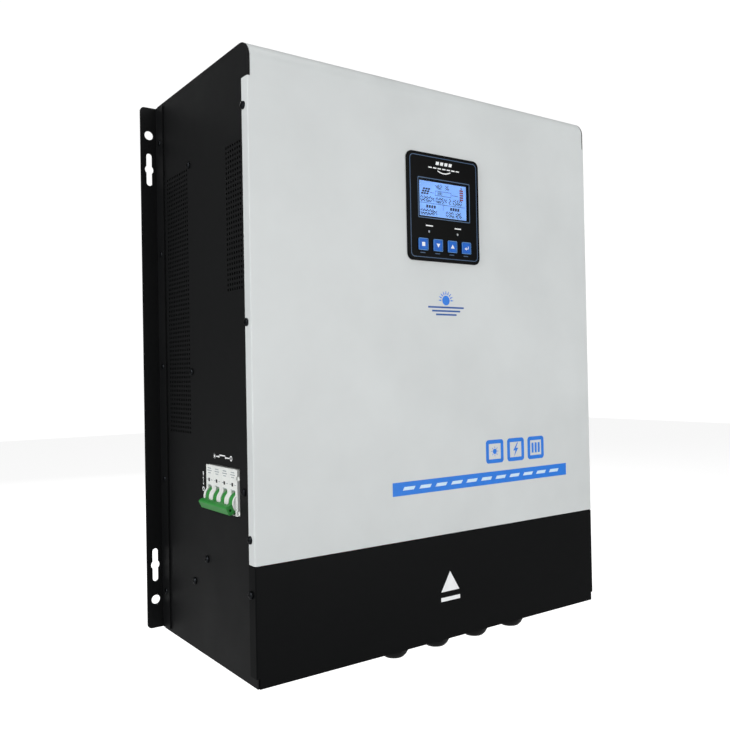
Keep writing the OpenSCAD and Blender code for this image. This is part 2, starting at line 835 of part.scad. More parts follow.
module at_inductors() {
  for (z = [pcb_top - 62, pcb_top - 156]) on_front(-112, comp_y, z) children();
}

// Toroid core: a ring of rectangular section, lying on the board
module inductor_cores() {
  color("#5d6a4c") at_inductors() translate([0, 0, coil_wire + 0.3]) difference() {
    cylinder(r = core_r, h = core_h);
    translate([0, 0, -1]) cylinder(r = core_bore_r, h = core_h + 2);
  }
}

// The turns are flat wire wound close round the core's section
module inductor_windings() {
  w = core_r - core_bore_r + 0.6;
  h = core_h + 0.6;
  color("#b5622d") at_inductors() for (turn = [0:coil_turns - 1])
    rotate([0, 0, turn * 340 / coil_turns]) translate([core_bore_r - 0.3, coil_wire / 2, coil_wire])
      rotate([90, 0, 0]) linear_extrude(coil_wire) difference() {
        translate([-coil_wire, -coil_wire]) square([w + 2 * coil_wire, h + 2 * coil_wire]);
        square([w, h]);
      }
}

module power_transistors() {
  color("#1a1a1c") for (x = transistor_xs) {
    block([x - 7.9, plate_y - 5, transistor_z - 10.5], [x + 7.9, plate_y, transistor_z + 10.5]);
    for (leg = [-1:1]) block([x + leg * 5.4 - 0.6, plate_y - 2.7, transistor_z + 10.4],
      [x + leg * 5.4 + 0.6, plate_y - 2.1, transistor_z + 16]);
  }
}

module transistor_clamp() {
  z = transistor_z;
  span = transistor_xs[len(transistor_xs) - 1] + 16;
  color("#9a9da1") {
    block([transistor_xs[0] - 16, plate_y - 8, z - 5], [span, plate_y - 5, z + 5]);
    for (x = [transistor_xs[0] - 12, span - 4]) translate([x, plate_y - 8, z]) rotate([90, 0, 0]) {
      cylinder(r = m4[1], h = m4[2]);
      translate([0, 0, -8]) cylinder(r = m4[0], h = 9);
    }
  }
}

module relays() {
  color("#2b6fb0") for (i = [0:2])
    block([56 + i * 40, comp_y - 26, pcb_bottom + 168], [86 + i * 40, comp_y, pcb_bottom + 192]);
}

module control_chips() {
  // Each chip's left edge, its height above the board's lower edge and its width
  chips = [[-30, 40, 22], [10, 44, 14], [62, 40, 12], [96, 44, 16], [-72, 44, 12]];
  color("#202124") for (p = chips) translate([p[0], comp_y - chip_t, pcb_bottom + p[1]])
    cube([p[2], chip_t, 0.7 * p[2]]);
}

// A flat cable from the display board to the power board, with a header at each end
module ribbon_cable() {
  w = 26;
  t = 1;
  r = 10;
  high = bezel_z - 44;
  low = high - 60;
  start = board_y + board_t;
  turn_y = start + 62;
  color("#8d9196") {
    facing_side(-w / 2, w) {
      translate([start + 6, high - t]) square([turn_y - r - start - 6, t]);
      translate([turn_y - r, high - r]) bend(r, t);
      translate([turn_y - t, low + r]) square([t, high - low - 2 * r]);
      translate([turn_y - t + r, low + r]) mirror([1, 0]) mirror([0, 1]) bend(r, t);
      translate([turn_y - t + r, low]) square([comp_y - 5 - turn_y + t - r, t]);
    }
    block([-w / 2 - 3, start, high - 3.5], [w / 2 + 3, start + 6.2, high + 2.5]);
    block([-w / 2 - 3, comp_y - 5.2, low - 2.5], [w / 2 + 3, comp_y, low + 3.5]);
  }
}

// ---------------------------------------------------------------- fans

module at_fan(side) {
  translate([side * fan_pitch / 2, fan_y, fan_z]) children();
}

module fan_frame() {
  color("#202224") {
    difference() {
      linear_extrude(fan_t) difference() {
        round_rect(fan_s, fan_s, 4);
        for (a = [-1, 1], b = [-1, 1]) translate([a * fan_hole, b * fan_hole])
          circle(m4[0] + screw_gap);
      }
      translate([0, 0, -1]) cylinder(r = fan_bore_r, h = fan_t + 2);
    }
    difference() {
      union() {
        translate([0, 0, fan_t - 4]) cylinder(r = 19, h = 4);
        for (a = [45:90:315]) rotate([0, 0, a]) translate([10, -2, fan_t - 3])
          cube([fan_bore_r - 9, 4, 3]);
      }
      translate([0, 0, fan_t - 5]) cylinder(r = 2.55, h = 6);
    }
  }
}

module fan_rotor() {
  hub_h = fan_t - 6;
  color("#2a2c2f") {
    translate([0, 0, 1.5]) cylinder(r = 18, h = hub_h);
    translate([0, 0, 2]) cylinder(r = 2.5, h = fan_t - 2.5);
    intersection() {
      for (a = [0:360 / 7:359]) rotate([0, 0, a]) translate([rotor_r / 2, 0, 1.5 + hub_h / 2])
        rotate([38, 0, 0]) cube([rotor_r + 2, 22, 1.6], center = true);
      translate([0, 0, 1.5]) difference() {
        cylinder(r = rotor_r, h = hub_h);
        translate([0, 0, -1]) cylinder(r = 17, h = hub_h + 2);
      }
    }
  }
}

module left_fan_frame() {
  at_fan(-1) fan_frame();
}

module right_fan_frame() {
  at_fan(1) fan_frame();
}

module left_fan_rotor() {
  at_fan(-1) fan_rotor();
}

module right_fan_rotor() {
  at_fan(1) fan_rotor();
}

// A stamped finger guard under each fan inlet
module fan_guards() {
  ring = 2.2;
  color("#2a2b2d") for (side = [-1, 1]) translate([side * fan_pitch / 2, fan_y, -half_h - sheet])
    linear_extrude(sheet) {
      for (r = [12:10:fan_bore_r + 1]) difference() {
        circle(r);
        circle(r - ring);
      }
      for (a = [45:90:315]) rotate(a) difference() {
        translate([10, -ring / 2]) square([sqrt(2) * fan_hole - 13.5, ring]);
        circle(10);
      }
      for (a = [-1, 1], b = [-1, 1]) translate([a * fan_hole, b * fan_hole]) difference() {
        circle(4.6);
        circle(m4[0] + screw_gap);
      }
    }
}

module fan_screws() {
  color("#2a2b2d") for (side = [-1, 1], a = [-1, 1], b = [-1, 1])
    translate([side * fan_pitch / 2 + a * fan_hole, fan_y + b * fan_hole, -half_h - sheet])
      rotate([180, 0, 0]) pan_screw(m4, 2 * sheet + fan_t - 2);
}

// ---------------------------------------------------------------- terminals

module terminal_block() {
  color("#3a3d40") difference() {
    block([block_x0, plate_y - block_d, block_top - block_h],
      [block_x0 + terminals * terminal_pitch, plate_y, block_top]);
    for (i = [0:terminals - 1]) translate([block_x0 + (i + 0.5) * terminal_pitch, block_mid_y, 0]) {
      translate([0, 0, block_top - 12]) cylinder(r = 4, h = 14);
      translate([0, 0, block_top - block_h - 2]) cylinder(r = 7, h = 16);
      translate([-6, plate_y - block_d - block_mid_y - 1, block_top - block_h / 2 - 7])
        cube([12, 9, 14]);
    }
    for (i = [1:terminals - 1]) translate([block_x0 + i * terminal_pitch - 0.6, plate_y - block_d - 1,
      block_top - block_h - 1]) cube([1.2, 4, block_h + 2]);
  }
}

module terminal_screws() {
  color("#c9ccd0") for (i = [0:terminals - 1])
    translate([block_x0 + (i + 0.5) * terminal_pitch, plate_y - block_d + 8, block_top - block_h / 2])
      rotate([90, 0, 0]) difference() {
        cylinder(r = 4.6, h = 4);
        translate([-5, -0.6, 2.6]) cube([10, 1.2, 2]);
      }
}

module earth_stud() {
  color("#c9b458") translate([earth_x, tray_y + 4, earth_z]) rotate([90, 0, 0]) {
    cylinder(r = 3, h = 30);
    cylinder(r = 5.5, h = 4);
  }
}

module earth_nuts() {
  color("#c9b458") for (y = [plate_y, plate_y - 9]) translate([earth_x, y, earth_z]) rotate([90, 0, 0])
    hex_nut(10, 5, 3.05);
}

// ---------------------------------------------------------------- cable glands

module at_glands() {
  for (x = gland_xs) translate([x, -gland_y, -half_h]) children();
}

module gland_bodies() {
  color("#1c1d1f") at_glands() difference() {
    union() {
      translate([0, 0, -gland_flange_h]) cylinder(r = 33 / sqrt(3), h = gland_flange_h, $fn = 6);
      cylinder(r = gland_r, h = sheet + 11);
      translate([0, 0, -gland_flange_h - 9]) cylinder(r = 13, h = 10);
    }
    translate([0, 0, -gland_flange_h - 10]) cylinder(r = gland_body_bore, h = 40);
  }
}

// Dome nut: six flats above, a round mouth below
module gland_cap_nuts() {
  top = -gland_flange_h - 0.3;
  mouth_r = gland_bore_d / 2 + 1;
  color("#1c1d1f") at_glands() difference() {
    rotate_extrude() polygon([
      [0, top], [18, top], [18.2, top - 1], [18.2, top - 11], [16.4, top - 15], [14.4, top - 18.5],
      [11.8, 0.6 - gland_len], [11, -gland_len], [0, -gland_len]
    ]);
    for (a = [0:60:300]) rotate([0, 0, a]) translate([16.2, -12, top - 14]) cube([6, 24, 16]);
    translate([0, 0, -gland_len - 1]) cylinder(r = mouth_r, h = 40);
    translate([0, 0, top - 15]) cylinder(r = 13.2, h = 20);
  }
}

module gland_seals() {
  color("#3b3d40") at_glands() translate([0, 0, 0.3 - gland_len + 7]) difference() {
    cylinder(r = gland_body_bore - 0.2, h = gland_len - 9);
    translate([0, 0, -1]) cylinder(r = gland_bore_d / 2, h = gland_len);
  }
}

module gland_locknuts() {
  color("#1c1d1f") at_glands() translate([0, 0, sheet]) hex_nut(34, 5.5, gland_r + 0.08);
}

rear_panel();
left_side_panel();
right_side_panel();
top_panel();
bottom_panel();
left_wall_bracket();
right_wall_bracket();
front_cover();
terminal_cover();
cover_screws();
terminal_cover_screws();
bracket_rivets();
display_bezel();
display_window();
lcd_module();
display_board();
tact_switches();
indicator_leds();
display_screws();
menu_button();
down_button();
up_button();
enter_button();
breaker_body();
breaker_toggles();
breaker_terminal_screws();
din_rail();
breaker_bracket();
breaker_bracket_screws();
breaker_leads();
mounting_tray();
tray_screws();
heat_sink_base();
heat_sink_fins();
power_board();
board_standoffs();
bulk_capacitors();
inductor_cores();
inductor_windings();
power_transistors();
transistor_clamp();
relays();
control_chips();
ribbon_cable();
left_fan_frame();
right_fan_frame();
left_fan_rotor();
right_fan_rotor();
fan_guards();
fan_screws();
terminal_block();
terminal_screws();
earth_stud();
earth_nuts();
gland_bodies();
gland_cap_nuts();
gland_seals();
gland_locknuts();
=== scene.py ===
"""Looks of the wall-mounted charge controller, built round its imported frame.

Every size is in millimetres in the classes below and turned to metres by MM where a mesh is made.
"""

from __future__ import annotations

import json
import logging
import math
from collections.abc import Callable, Iterable, Sequence
from dataclasses import dataclass, field
from enum import Enum

import bmesh
import bpy
from mathutils import Matrix, Vector

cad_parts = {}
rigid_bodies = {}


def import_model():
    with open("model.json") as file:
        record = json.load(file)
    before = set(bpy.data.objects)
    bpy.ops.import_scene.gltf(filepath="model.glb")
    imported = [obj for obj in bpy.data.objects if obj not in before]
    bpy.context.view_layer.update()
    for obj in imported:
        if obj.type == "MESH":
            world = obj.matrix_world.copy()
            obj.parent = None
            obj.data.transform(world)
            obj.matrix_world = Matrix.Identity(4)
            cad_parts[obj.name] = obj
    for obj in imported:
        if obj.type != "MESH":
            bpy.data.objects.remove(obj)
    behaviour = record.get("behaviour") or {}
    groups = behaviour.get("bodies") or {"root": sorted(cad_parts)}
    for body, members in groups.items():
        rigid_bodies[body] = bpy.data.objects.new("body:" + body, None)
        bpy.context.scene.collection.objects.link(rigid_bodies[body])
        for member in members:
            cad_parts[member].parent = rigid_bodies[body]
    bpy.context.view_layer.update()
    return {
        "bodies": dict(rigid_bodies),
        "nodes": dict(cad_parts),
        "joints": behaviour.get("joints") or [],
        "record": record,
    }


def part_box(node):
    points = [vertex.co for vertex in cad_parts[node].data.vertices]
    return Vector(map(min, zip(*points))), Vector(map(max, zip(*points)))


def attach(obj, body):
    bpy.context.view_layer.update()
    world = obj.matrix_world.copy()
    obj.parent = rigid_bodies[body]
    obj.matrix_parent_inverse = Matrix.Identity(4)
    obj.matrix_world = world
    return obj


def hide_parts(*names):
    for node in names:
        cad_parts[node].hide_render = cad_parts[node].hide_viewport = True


logging.basicConfig(level=logging.INFO, format="%(message)s")
LOG = logging.getLogger("charge_controller")
MM = 0.001
# An edge that turns by more than this is a corner of the piece, and gets its rounding
CORNER = math.radians(33)
Point = tuple[float, float]
Tree = bpy.types.NodeTree
Socket = bpy.types.NodeSocket


# ------------------------------------------------------------------ helpers


def linear(hex_colour: str) -> tuple[float, float, float, float]:
    """Turns an sRGB hex colour into linear light.

    Args:
        hex_colour: Six hex digits after a hash sign.

    Returns:
        Red, green, blue and an alpha of 1.
    """
    channels = [int(hex_colour[i : i + 2], 16) / 255 for i in (1, 3, 5)]
    light = [c / 12.92 if c <= 0.04045 else ((c + 0.055) / 1.055) ** 2.4 for c in channels]
    return (light[0], light[1], light[2], 1.0)


def shade(hex_colour: str, factor: float) -> tuple[float, float, float, float]:
    """Makes a colour brighter or darker.

    Args:
        hex_colour: The colour, as linear() takes it.
        factor: Its new brightness as a share of the old one.

    Returns:
        The linear colour, none of whose parts is above 1.
    """
    r, g, b, a = linear(hex_colour)
    return (min(r * factor, 1.0), min(g * factor, 1.0), min(b * factor, 1.0), a)


def add_node(
    tree: Tree, kind: str, inputs: dict | None = None, **settings: object
) -> bpy.types.Node:
    """Adds a node to a material.

    Args:
        tree: The material's node tree.
        kind: Blender's name for the node's type.
        inputs: Socket names or numbers, each with a value or with the output that feeds it.
        settings: Properties of the node itself.

    Returns:
        The new node.
    """
    node = tree.nodes.new(kind)
    for name, value in settings.items():
        setattr(node, name, value)
    for key, value in (inputs or {}).items():
        if isinstance(value, Socket):
            tree.links.new(value, node.inputs[key])
        else:
            node.inputs[key].default_value = value
    return node


class Facing(Enum):
    """The side of the cabinet that a flat drawing is stood against."""

    FRONT = "front"
    LEFT = "left"

    def stand(self, origin: Vector) -> Matrix:
        """Stands a drawing up.

        Args:
            origin: Where the drawing's own origin goes, in metres.

        Returns:
            The matrix from (across, up, outwards) in millimetres to the cabinet in metres.
        """
        across = Vector((1, 0, 0)) if self is Facing.FRONT else Vector((0, -1, 0))
        outwards = Vector((0, -1, 0)) if self is Facing.FRONT else Vector((-1, 0, 0))
        basis = Matrix((across, Vector((0, 0, 1)), outwards)).transposed() * MM
        return Matrix.Translation(origin) @ basis.to_4x4()


class Workshop:
    """Turns finished bmeshes into pieces that ride on the frame, with their finishes."""

    def __init__(self, nodes: dict[str, bpy.types.Object]) -> None:
        """Keeps the frame's nodes and an empty store of finishes.

        Args:
            nodes: The frame's objects by the name of their node.
        """
        self.nodes = nodes
        self.materials: dict[str, bpy.types.Material] = {}
        self.made = 0

    def material(self, finish: Finish) -> bpy.types.Material:
        """Returns the material of a finish, and builds it once.

        Args:
            finish: The finish.

        Returns:
            Its material.
        """
        if finish.name not in self.materials:
            self.materials[finish.name] = finish.build()
        return self.materials[finish.name]

    def publish(
        self,
        bm: bmesh.types.BMesh,
        name: str,
        finish: Finish,
        slot: str,
        body: str = "cabinet",
        replaces: Iterable[str] = (),
        smooth_angle: float = 32.0,
    ) -> bpy.types.Object:
        """Makes a piece from a bmesh and puts it in the scene.

        Args:
            bm: The finished shape, in metres and in place. It is freed.
            name: The piece's name.
            finish: Its material.
            slot: The record's material slot. It is not used.
            body: The moving body that carries it.
            replaces: The frame's nodes that it stands for.
            smooth_angle: Edges that turn by more than this many degrees stay sharp.

        Returns:
            The new object.
        """
        mesh = bpy.data.meshes.new(name)
        bm.to_mesh(mesh)
        bm.free()
        mesh.shade_smooth()
        mesh.set_sharp_from_angle(angle=math.radians(smooth_angle))
        mesh.materials.append(self.material(finish))
        piece = bpy.data.objects.new(name, mesh)
        bpy.context.scene.collection.objects.link(piece)
        # Flat faces keep their own normals, so that a rounded edge doesn't shade the whole sheet
        flat = piece.modifiers.new("flat_faces", "WEIGHTED_NORMAL")
        flat.mode, flat.weight, flat.keep_sharp = "FACE_AREA", 100, True
        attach(piece, body)
        if replaces:
            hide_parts(*replaces)
        self.made += 1
        LOG.info("%s: %d faces on %s", name, len(mesh.polygons), body)
        return piece

    def dress(self, names: Iterable[str], finish: Finish) -> None:
        """Gives frame nodes a finish in place of their plain colour.

        Args:
            names: The nodes.
            finish: The finish they all take.
        """
        for name in names:
            slots = self.nodes[name].material_slots
            for slot in slots:
                slot.material = self.material(finish)
            LOG.info("%s: dressed in %s", name, finish.name)

    def merged_copy(self, name: str) -> bmesh.types.BMesh:
        """Copies a frame node with its loose triangles joined and its flat faces made whole.

        Args:
            name: The node.

        Returns:
            The joined copy, in metres and in place.
        """
        bm = bmesh.new()
        bm.from_mesh(self.nodes[name].data)
        bmesh.ops.remove_doubles(bm, verts=bm.verts, dist=0.002 * MM)
        bmesh.ops.dissolve_limit(
            bm, angle_limit=math.radians(0.6), use_dissolve_boundaries=False,
            verts=bm.verts, edges=bm.edges,
        )
        return bm

    def softened(
        self,
        name: str,
        finish: Finish,
        slot: str,
        width: float,
        body: str = "cabinet",
        segments: int = 2,
        folds: Callable[[bmesh.types.BMEdge], float] | None = None,
    ) -> bpy.types.Object:
        """Stands a copy of a frame node in for it, with its sharp edges rounded.

        Args:
            name: The node, whose name the piece keeps with "_part" after it.
            finish: Its material.
            slot: The record's material slot.
            width: How far the rounding reaches from each edge, in millimetres.
            body: The moving body that carries it.
            segments: Flat steps in each rounding.
            folds: Says for an edge how wide its own rounding is in millimetres, or 0.

        Returns:
            The new object.
        """
        bm = self.merged_copy(name)
        if folds is not None:
            for reach in sorted({folds(e) for e in bm.edges} - {0.0}, reverse=True):
                bend = [e for e in bm.edges if folds(e) == reach]
                bevel(bm, bend, reach, 5)
        corners = [e for e in bm.edges if e.is_manifold and e.calc_face_angle(0.0) > CORNER]
        bevel(bm, corners, width, segments)
        return self.publish(bm, f"{name}_part", finish, slot, body, (name,))


def bevel(
    bm: bmesh.types.BMesh, edges: list[bmesh.types.BMEdge], width: float, segments: int,
    clamp: bool = True,
) -> None:
    """Rounds edges of a mesh in metres by a width in millimetres.

    Args:
        bm: The mesh.
        edges: The edges to round.
        width: How far the rounding reaches from each edge.
        segments: Flat steps across the rounding.
        clamp: Whether roundings stop where they would meet.
    """
    if edges:
        bmesh.ops.bevel(
            bm, geom=edges, offset=width * MM, offset_type="OFFSET", segments=segments, profile=0.5,
            affect="EDGES", clamp_overlap=clamp, material=-1, loop_slide=True,
        )


class Drawing:
    """Flat shapes in millimetres, across and up, that are stood up and given a thickness."""

    def __init__(self) -> None:
        """Starts with nothing drawn."""
        self.bm = bmesh.new()

    def polygon(self, points: Sequence[Point]) -> None:
        """Draws a filled outline through points."""
        self.bm.faces.new([self.bm.verts.new((u, v, 0)) for u, v in points])

    def rectangle(self, centre: Point, size: Point, lean: float = 0.0) -> None:
        """Draws a filled rectangle.

        Args:
            centre: Its middle.
            size: Its width and height.
            lean: How far its top stands to the right of its bottom.
        """
        (u, v), (w, h) = centre, (size[0] / 2, size[1] / 2)
        s = lean / 2
        self.polygon([(u - w - s, v - h), (u + w - s, v - h), (u + w + s, v + h), (u - w + s, v + h)])

    def disc(self, centre: Point, radius: float, sides: int = 32) -> None:
        """Draws a filled circle.

        Args:
            centre: Its middle.
            radius: Its radius.
            sides: How many straight steps go round it.
        """
        place = Matrix.Translation((centre[0], centre[1], 0))
        bmesh.ops.create_circle(self.bm, cap_ends=True, segments=sides, radius=radius, matrix=place)

    def band(self, centre: Point, radius: float, width: float, start: float, end: float) -> None:
        """Draws a stretch of a round band.

        Args:
            centre: The middle of the circle.
            radius: The band's outer radius.
            width: Its width.
            start: The angle where it starts, in degrees from the right.
            end: The angle where it ends.
        """
        steps = max(6, int(abs(end - start) / 8))
        angles = [math.radians(start + (end - start) * i / steps) for i in range(steps + 1)]
        rims = [(radius, angles), (radius - width, angles[::-1])]
        self.polygon([
            (centre[0] + r * math.cos(a), centre[1] + r * math.sin(a)) for r, turn in rims for a in turn
        ])

    def rounded(self, centre: Point, size: Point, radius: float, rim: float = 0.0) -> None:
        """Draws a rectangle with round corners, whole or as a rim.

        Args:
            centre: Its middle.
            size: Its width and height.
            radius: The radius of its corners.
            rim: The width of the rim, or 0 for a whole shape.
        """
        scale = Matrix.Diagonal((size[0], size[1], 1, 1))
        place = Matrix.Translation((centre[0], centre[1], 0)) @ scale
        made = bmesh.ops.create_grid(self.bm, x_segments=1, y_segments=1, size=0.5, matrix=place)
        found = bmesh.ops.bevel(
            self.bm, geom=made["verts"], offset=radius, offset_type="OFFSET", segments=8, profile=0.5,
            affect="VERTICES", material=-1,
        )
        if rim:
            whole = {f for v in found["verts"] for f in v.link_faces}
            bmesh.ops.inset_region(
                self.bm, faces=list(whole), thickness=rim, use_even_offset=True, use_boundary=True
            )
            bmesh.ops.delete(self.bm, geom=list(whole), context="FACES_ONLY")

    def stood(self, facing: Facing, origin: Vector, thickness: float) -> bmesh.types.BMesh:
        """Gives the drawing its thickness and stands it on the cabinet.

        Args:
            facing: The side of the cabinet.
            origin: Where the drawing's origin goes, in metres.
            thickness: How far it stands out, in millimetres.

        Returns:
            The solid, in metres and in place.
        """
        self.bm.normal_update()
        bmesh.ops.reverse_faces(self.bm, faces=[f for f in self.bm.faces if f.normal.z < 0])
        bmesh.ops.solidify(self.bm, geom=self.bm.faces[:], thickness=thickness)
        low = min(v.co.z for v in self.bm.verts)
        bmesh.ops.translate(self.bm, verts=self.bm.verts, vec=(0, 0, -low))
        bmesh.ops.recalc_face_normals(self.bm, faces=self.bm.faces)
        self.bm.transform(facing.stand(origin))
        return self.bm


def span(name: str) -> tuple[Vector, Vector, Vector]:
    """Finds where a frame node is.

    Args:
        name: The node.

    Returns:
        Its lowest corner, its middle and its highest corner, in metres.
    """
    low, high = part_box(name)
    return low, (low + high) / 2, high


# ------------------------------------------------------------------ finishes


@dataclass(frozen=True)
class Finish:
    """What every finish has. A kind of finish adds its pattern in dress()."""

    name: str
    colour: str
    roughness: float = 0.5
    ior: float = 1.5
    metallic: float = 0.0

    def build(self) -> bpy.types.Material:
        """Builds the material.

        Returns:
            A material with one shader and the finish's own pattern.
        """
        material = bpy.data.materials.new(self.name)
        material.use_nodes = True
        tree = material.node_tree
        tree.nodes.clear()
        shader = add_node(tree, "ShaderNodeBsdfPrincipled", {
            "Base Color": linear(self.colour), "Roughness": self.roughness, "IOR": self.ior,
            "Metallic": self.metallic,
        })
        add_node(tree, "ShaderNodeOutputMaterial", {"Surface": shader.outputs["BSDF"]})
        coord = add_node(tree, "ShaderNodeTexCoord").outputs["Object"]
        self.dress(tree, shader, coord)
        material.diffuse_color = linear(self.colour)
        return material

    def dress(self, tree: Tree, shader: bpy.types.Node, coord: Socket) -> None:
        """Adds the pattern. A plain finish has none.

        Args:
            tree: The material's nodes.
            shader: The shader that the pattern feeds.
            coord: Object coordinates, in metres.
        """

    def mottle(
        self,
        tree: Tree,
        shader: bpy.types.Node,
        coord: Socket,
        cloud_mm: float,
        low: float,
        high: float,
    ) -> bpy.types.Node:
        """Lets the colour drift softly between two brightnesses.

        Args:
            tree: The material's nodes.
            shader: The shader whose colour drifts.
            coord: Object coordinates.
            cloud_mm: The size of the clouds.
            low: The brightness of the darkest cloud, as a share of the colour.
            high: The brightness of the lightest cloud.

        Returns:
            The noise that makes the clouds.
        """
        cloud = add_node(tree, "ShaderNodeTexNoise", {
            "Vector": coord, "Scale": 1 / (cloud_mm * MM), "Detail": 3.0, "Roughness": 0.55,
        })
        ramp = add_node(tree, "ShaderNodeValToRGB", {"Fac": cloud.outputs["Fac"]})
        ramp.color_ramp.elements[0].position = 0.3
        ramp.color_ramp.elements[0].color = shade(self.colour, low)
        ramp.color_ramp.elements[1].position = 0.7
        ramp.color_ramp.elements[1].color = shade(self.colour, high)
        tree.links.new(ramp.outputs["Color"], shader.inputs["Base Color"])
        return cloud


@dataclass(frozen=True)
class PowderCoat(Finish):
    """Baked polyester powder: a hard skin with a soft orange peel and a fine grit."""

    peel_mm: float = 2.2
    grit_mm: float = 0.7
    relief_mm: float = 0.03
    sheen_spread: float = 0.05

    def dress(self, tree: Tree, shader: bpy.types.Node, coord: Socket) -> None:
        """Adds the drift of colour, the orange peel and the grit.

        Args:
            tree: The material's nodes.
            shader: The shader that the pattern feeds.
            coord: Object coordinates, in metres.
        """
        cloud = self.mottle(tree, shader, coord, 90.0, 0.96, 1.04)
        gloss = add_node(tree, "ShaderNodeMapRange", {
            "Value": cloud.outputs["Fac"], "From Min": 0.3, "From Max": 0.7,
            "To Min": self.roughness - self.sheen_spread, "To Max": self.roughness + self.sheen_spread,
        })
        tree.links.new(gloss.outputs["Result"], shader.inputs["Roughness"])
        peel = add_node(tree, "ShaderNodeTexNoise", {
            "Vector": coord, "Scale": 1 / (self.peel_mm * MM), "Detail": 2.0,
        })
        # The real grit is near 0.1 mm. It is drawn coarser so that it shows.
        grit = add_node(tree, "ShaderNodeTexVoronoi", {
            "Vector": coord, "Scale": 1 / (self.grit_mm * MM),
        })
        height = add_node(tree, "ShaderNodeMath", {
            0: grit.outputs["Distance"], 1: 0.45, 2: peel.outputs["Fac"],
        }, operation="MULTIPLY_ADD")
        bump = add_node(tree, "ShaderNodeBump", {
            "Height": height.outputs[0], "Strength": 0.5, "Distance": self.relief_mm * MM,
        })
        tree.links.new(bump.outputs["Normal"], shader.inputs["Normal"])


@dataclass(frozen=True)
class Moulded(Finish):
    """Injection-moulded plastic with the spark-eroded grain of its mould."""

    grain_mm: float = 0.6
    relief_mm: float = 0.02
    coat: float = 0.0

    def dress(self, tree: Tree, shader: bpy.types.Node, coord: Socket) -> None:
        """Adds faint flow clouds and the grain.

        Args:
            tree: The material's nodes.
            shader: The shader that the pattern feeds.
            coord: Object coordinates, in metres.
        """
        self.mottle(tree, shader, coord, 25.0, 0.94, 1.05)
        shader.inputs["Coat Weight"].default_value = self.coat
        shader.inputs["Coat Roughness"].default_value = 0.15
        grain = add_node(tree, "ShaderNodeTexNoise", {
            "Vector": coord, "Scale": 1 / (self.grain_mm * MM), "Detail": 4.0, "Roughness": 0.7,
        })
        bump = add_node(tree, "ShaderNodeBump", {
            "Height": grain.outputs["Fac"], "Strength": 0.6, "Distance": self.relief_mm * MM,
        })
        tree.links.new(bump.outputs["Normal"], shader.inputs["Normal"])


@dataclass(frozen=True)
class Metal(Finish):
    """Bare or plated metal. Its grain is drawn out along one axis where it is rolled or drawn."""

    grain_mm: tuple[float, float, float] = (1.0, 1.0, 1.0)
    relief_mm: float = 0.01
    spread: float = 0.08
    metallic: float = 1.0

    def dress(self, tree: Tree, shader: bpy.types.Node, coord: Socket) -> None:
        """Adds clouds of tarnish and the grain.

        Args:
            tree: The material's nodes.
            shader: The shader that the pattern feeds.
            coord: Object coordinates, in metres.
        """
        cloud = self.mottle(tree, shader, coord, 14.0, 0.82, 1.08)
        gloss = add_node(tree, "ShaderNodeMapRange", {
            "Value": cloud.outputs["Fac"], "From Min": 0.3, "From Max": 0.7,
            "To Min": self.roughness + self.spread, "To Max": self.roughness - self.spread,
        })
        tree.links.new(gloss.outputs["Result"], shader.inputs["Roughness"])
        stretch = add_node(tree, "ShaderNodeMapping", {
            "Vector": coord, "Scale": tuple(1 / (g * MM) for g in self.grain_mm),
        })
        grain = add_node(tree, "ShaderNodeTexNoise", {
            "Vector": stretch.outputs["Vector"], "Scale": 1.0, "Detail": 3.0,
        })
        bump = add_node(tree, "ShaderNodeBump", {
            "Height": grain.outputs["Fac"], "Strength": 0.4, "Distance": self.relief_mm * MM,
        })
        tree.links.new(bump.outputs["Normal"], shader.inputs["Normal"])


@dataclass(frozen=True)
class Ink(Finish):
    """Screen-printed ink: a thin matt film that the weave of the screen leaves slightly uneven."""

    screen_mm: float = 0.5

    def dress(self, tree: Tree, shader: bpy.types.Node, coord: Socket) -> None:
        """Adds the film's unevenness.

        Args:
            tree: The material's nodes.
            shader: The shader that the pattern feeds.
            coord: Object coordinates, in metres.
        """
        self.mottle(tree, shader, coord, 6.0, 0.95, 1.03)
        weave = add_node(tree, "ShaderNodeTexNoise", {
            "Vector": coord, "Scale": 1 / (self.screen_mm * MM), "Detail": 1.0,
        })
        bump = add_node(tree, "ShaderNodeBump", {
            "Height": weave.outputs["Fac"], "Strength": 0.3, "Distance": 0.008 * MM,
        })
        tree.links.new(bump.outputs["Normal"], shader.inputs["Normal"])


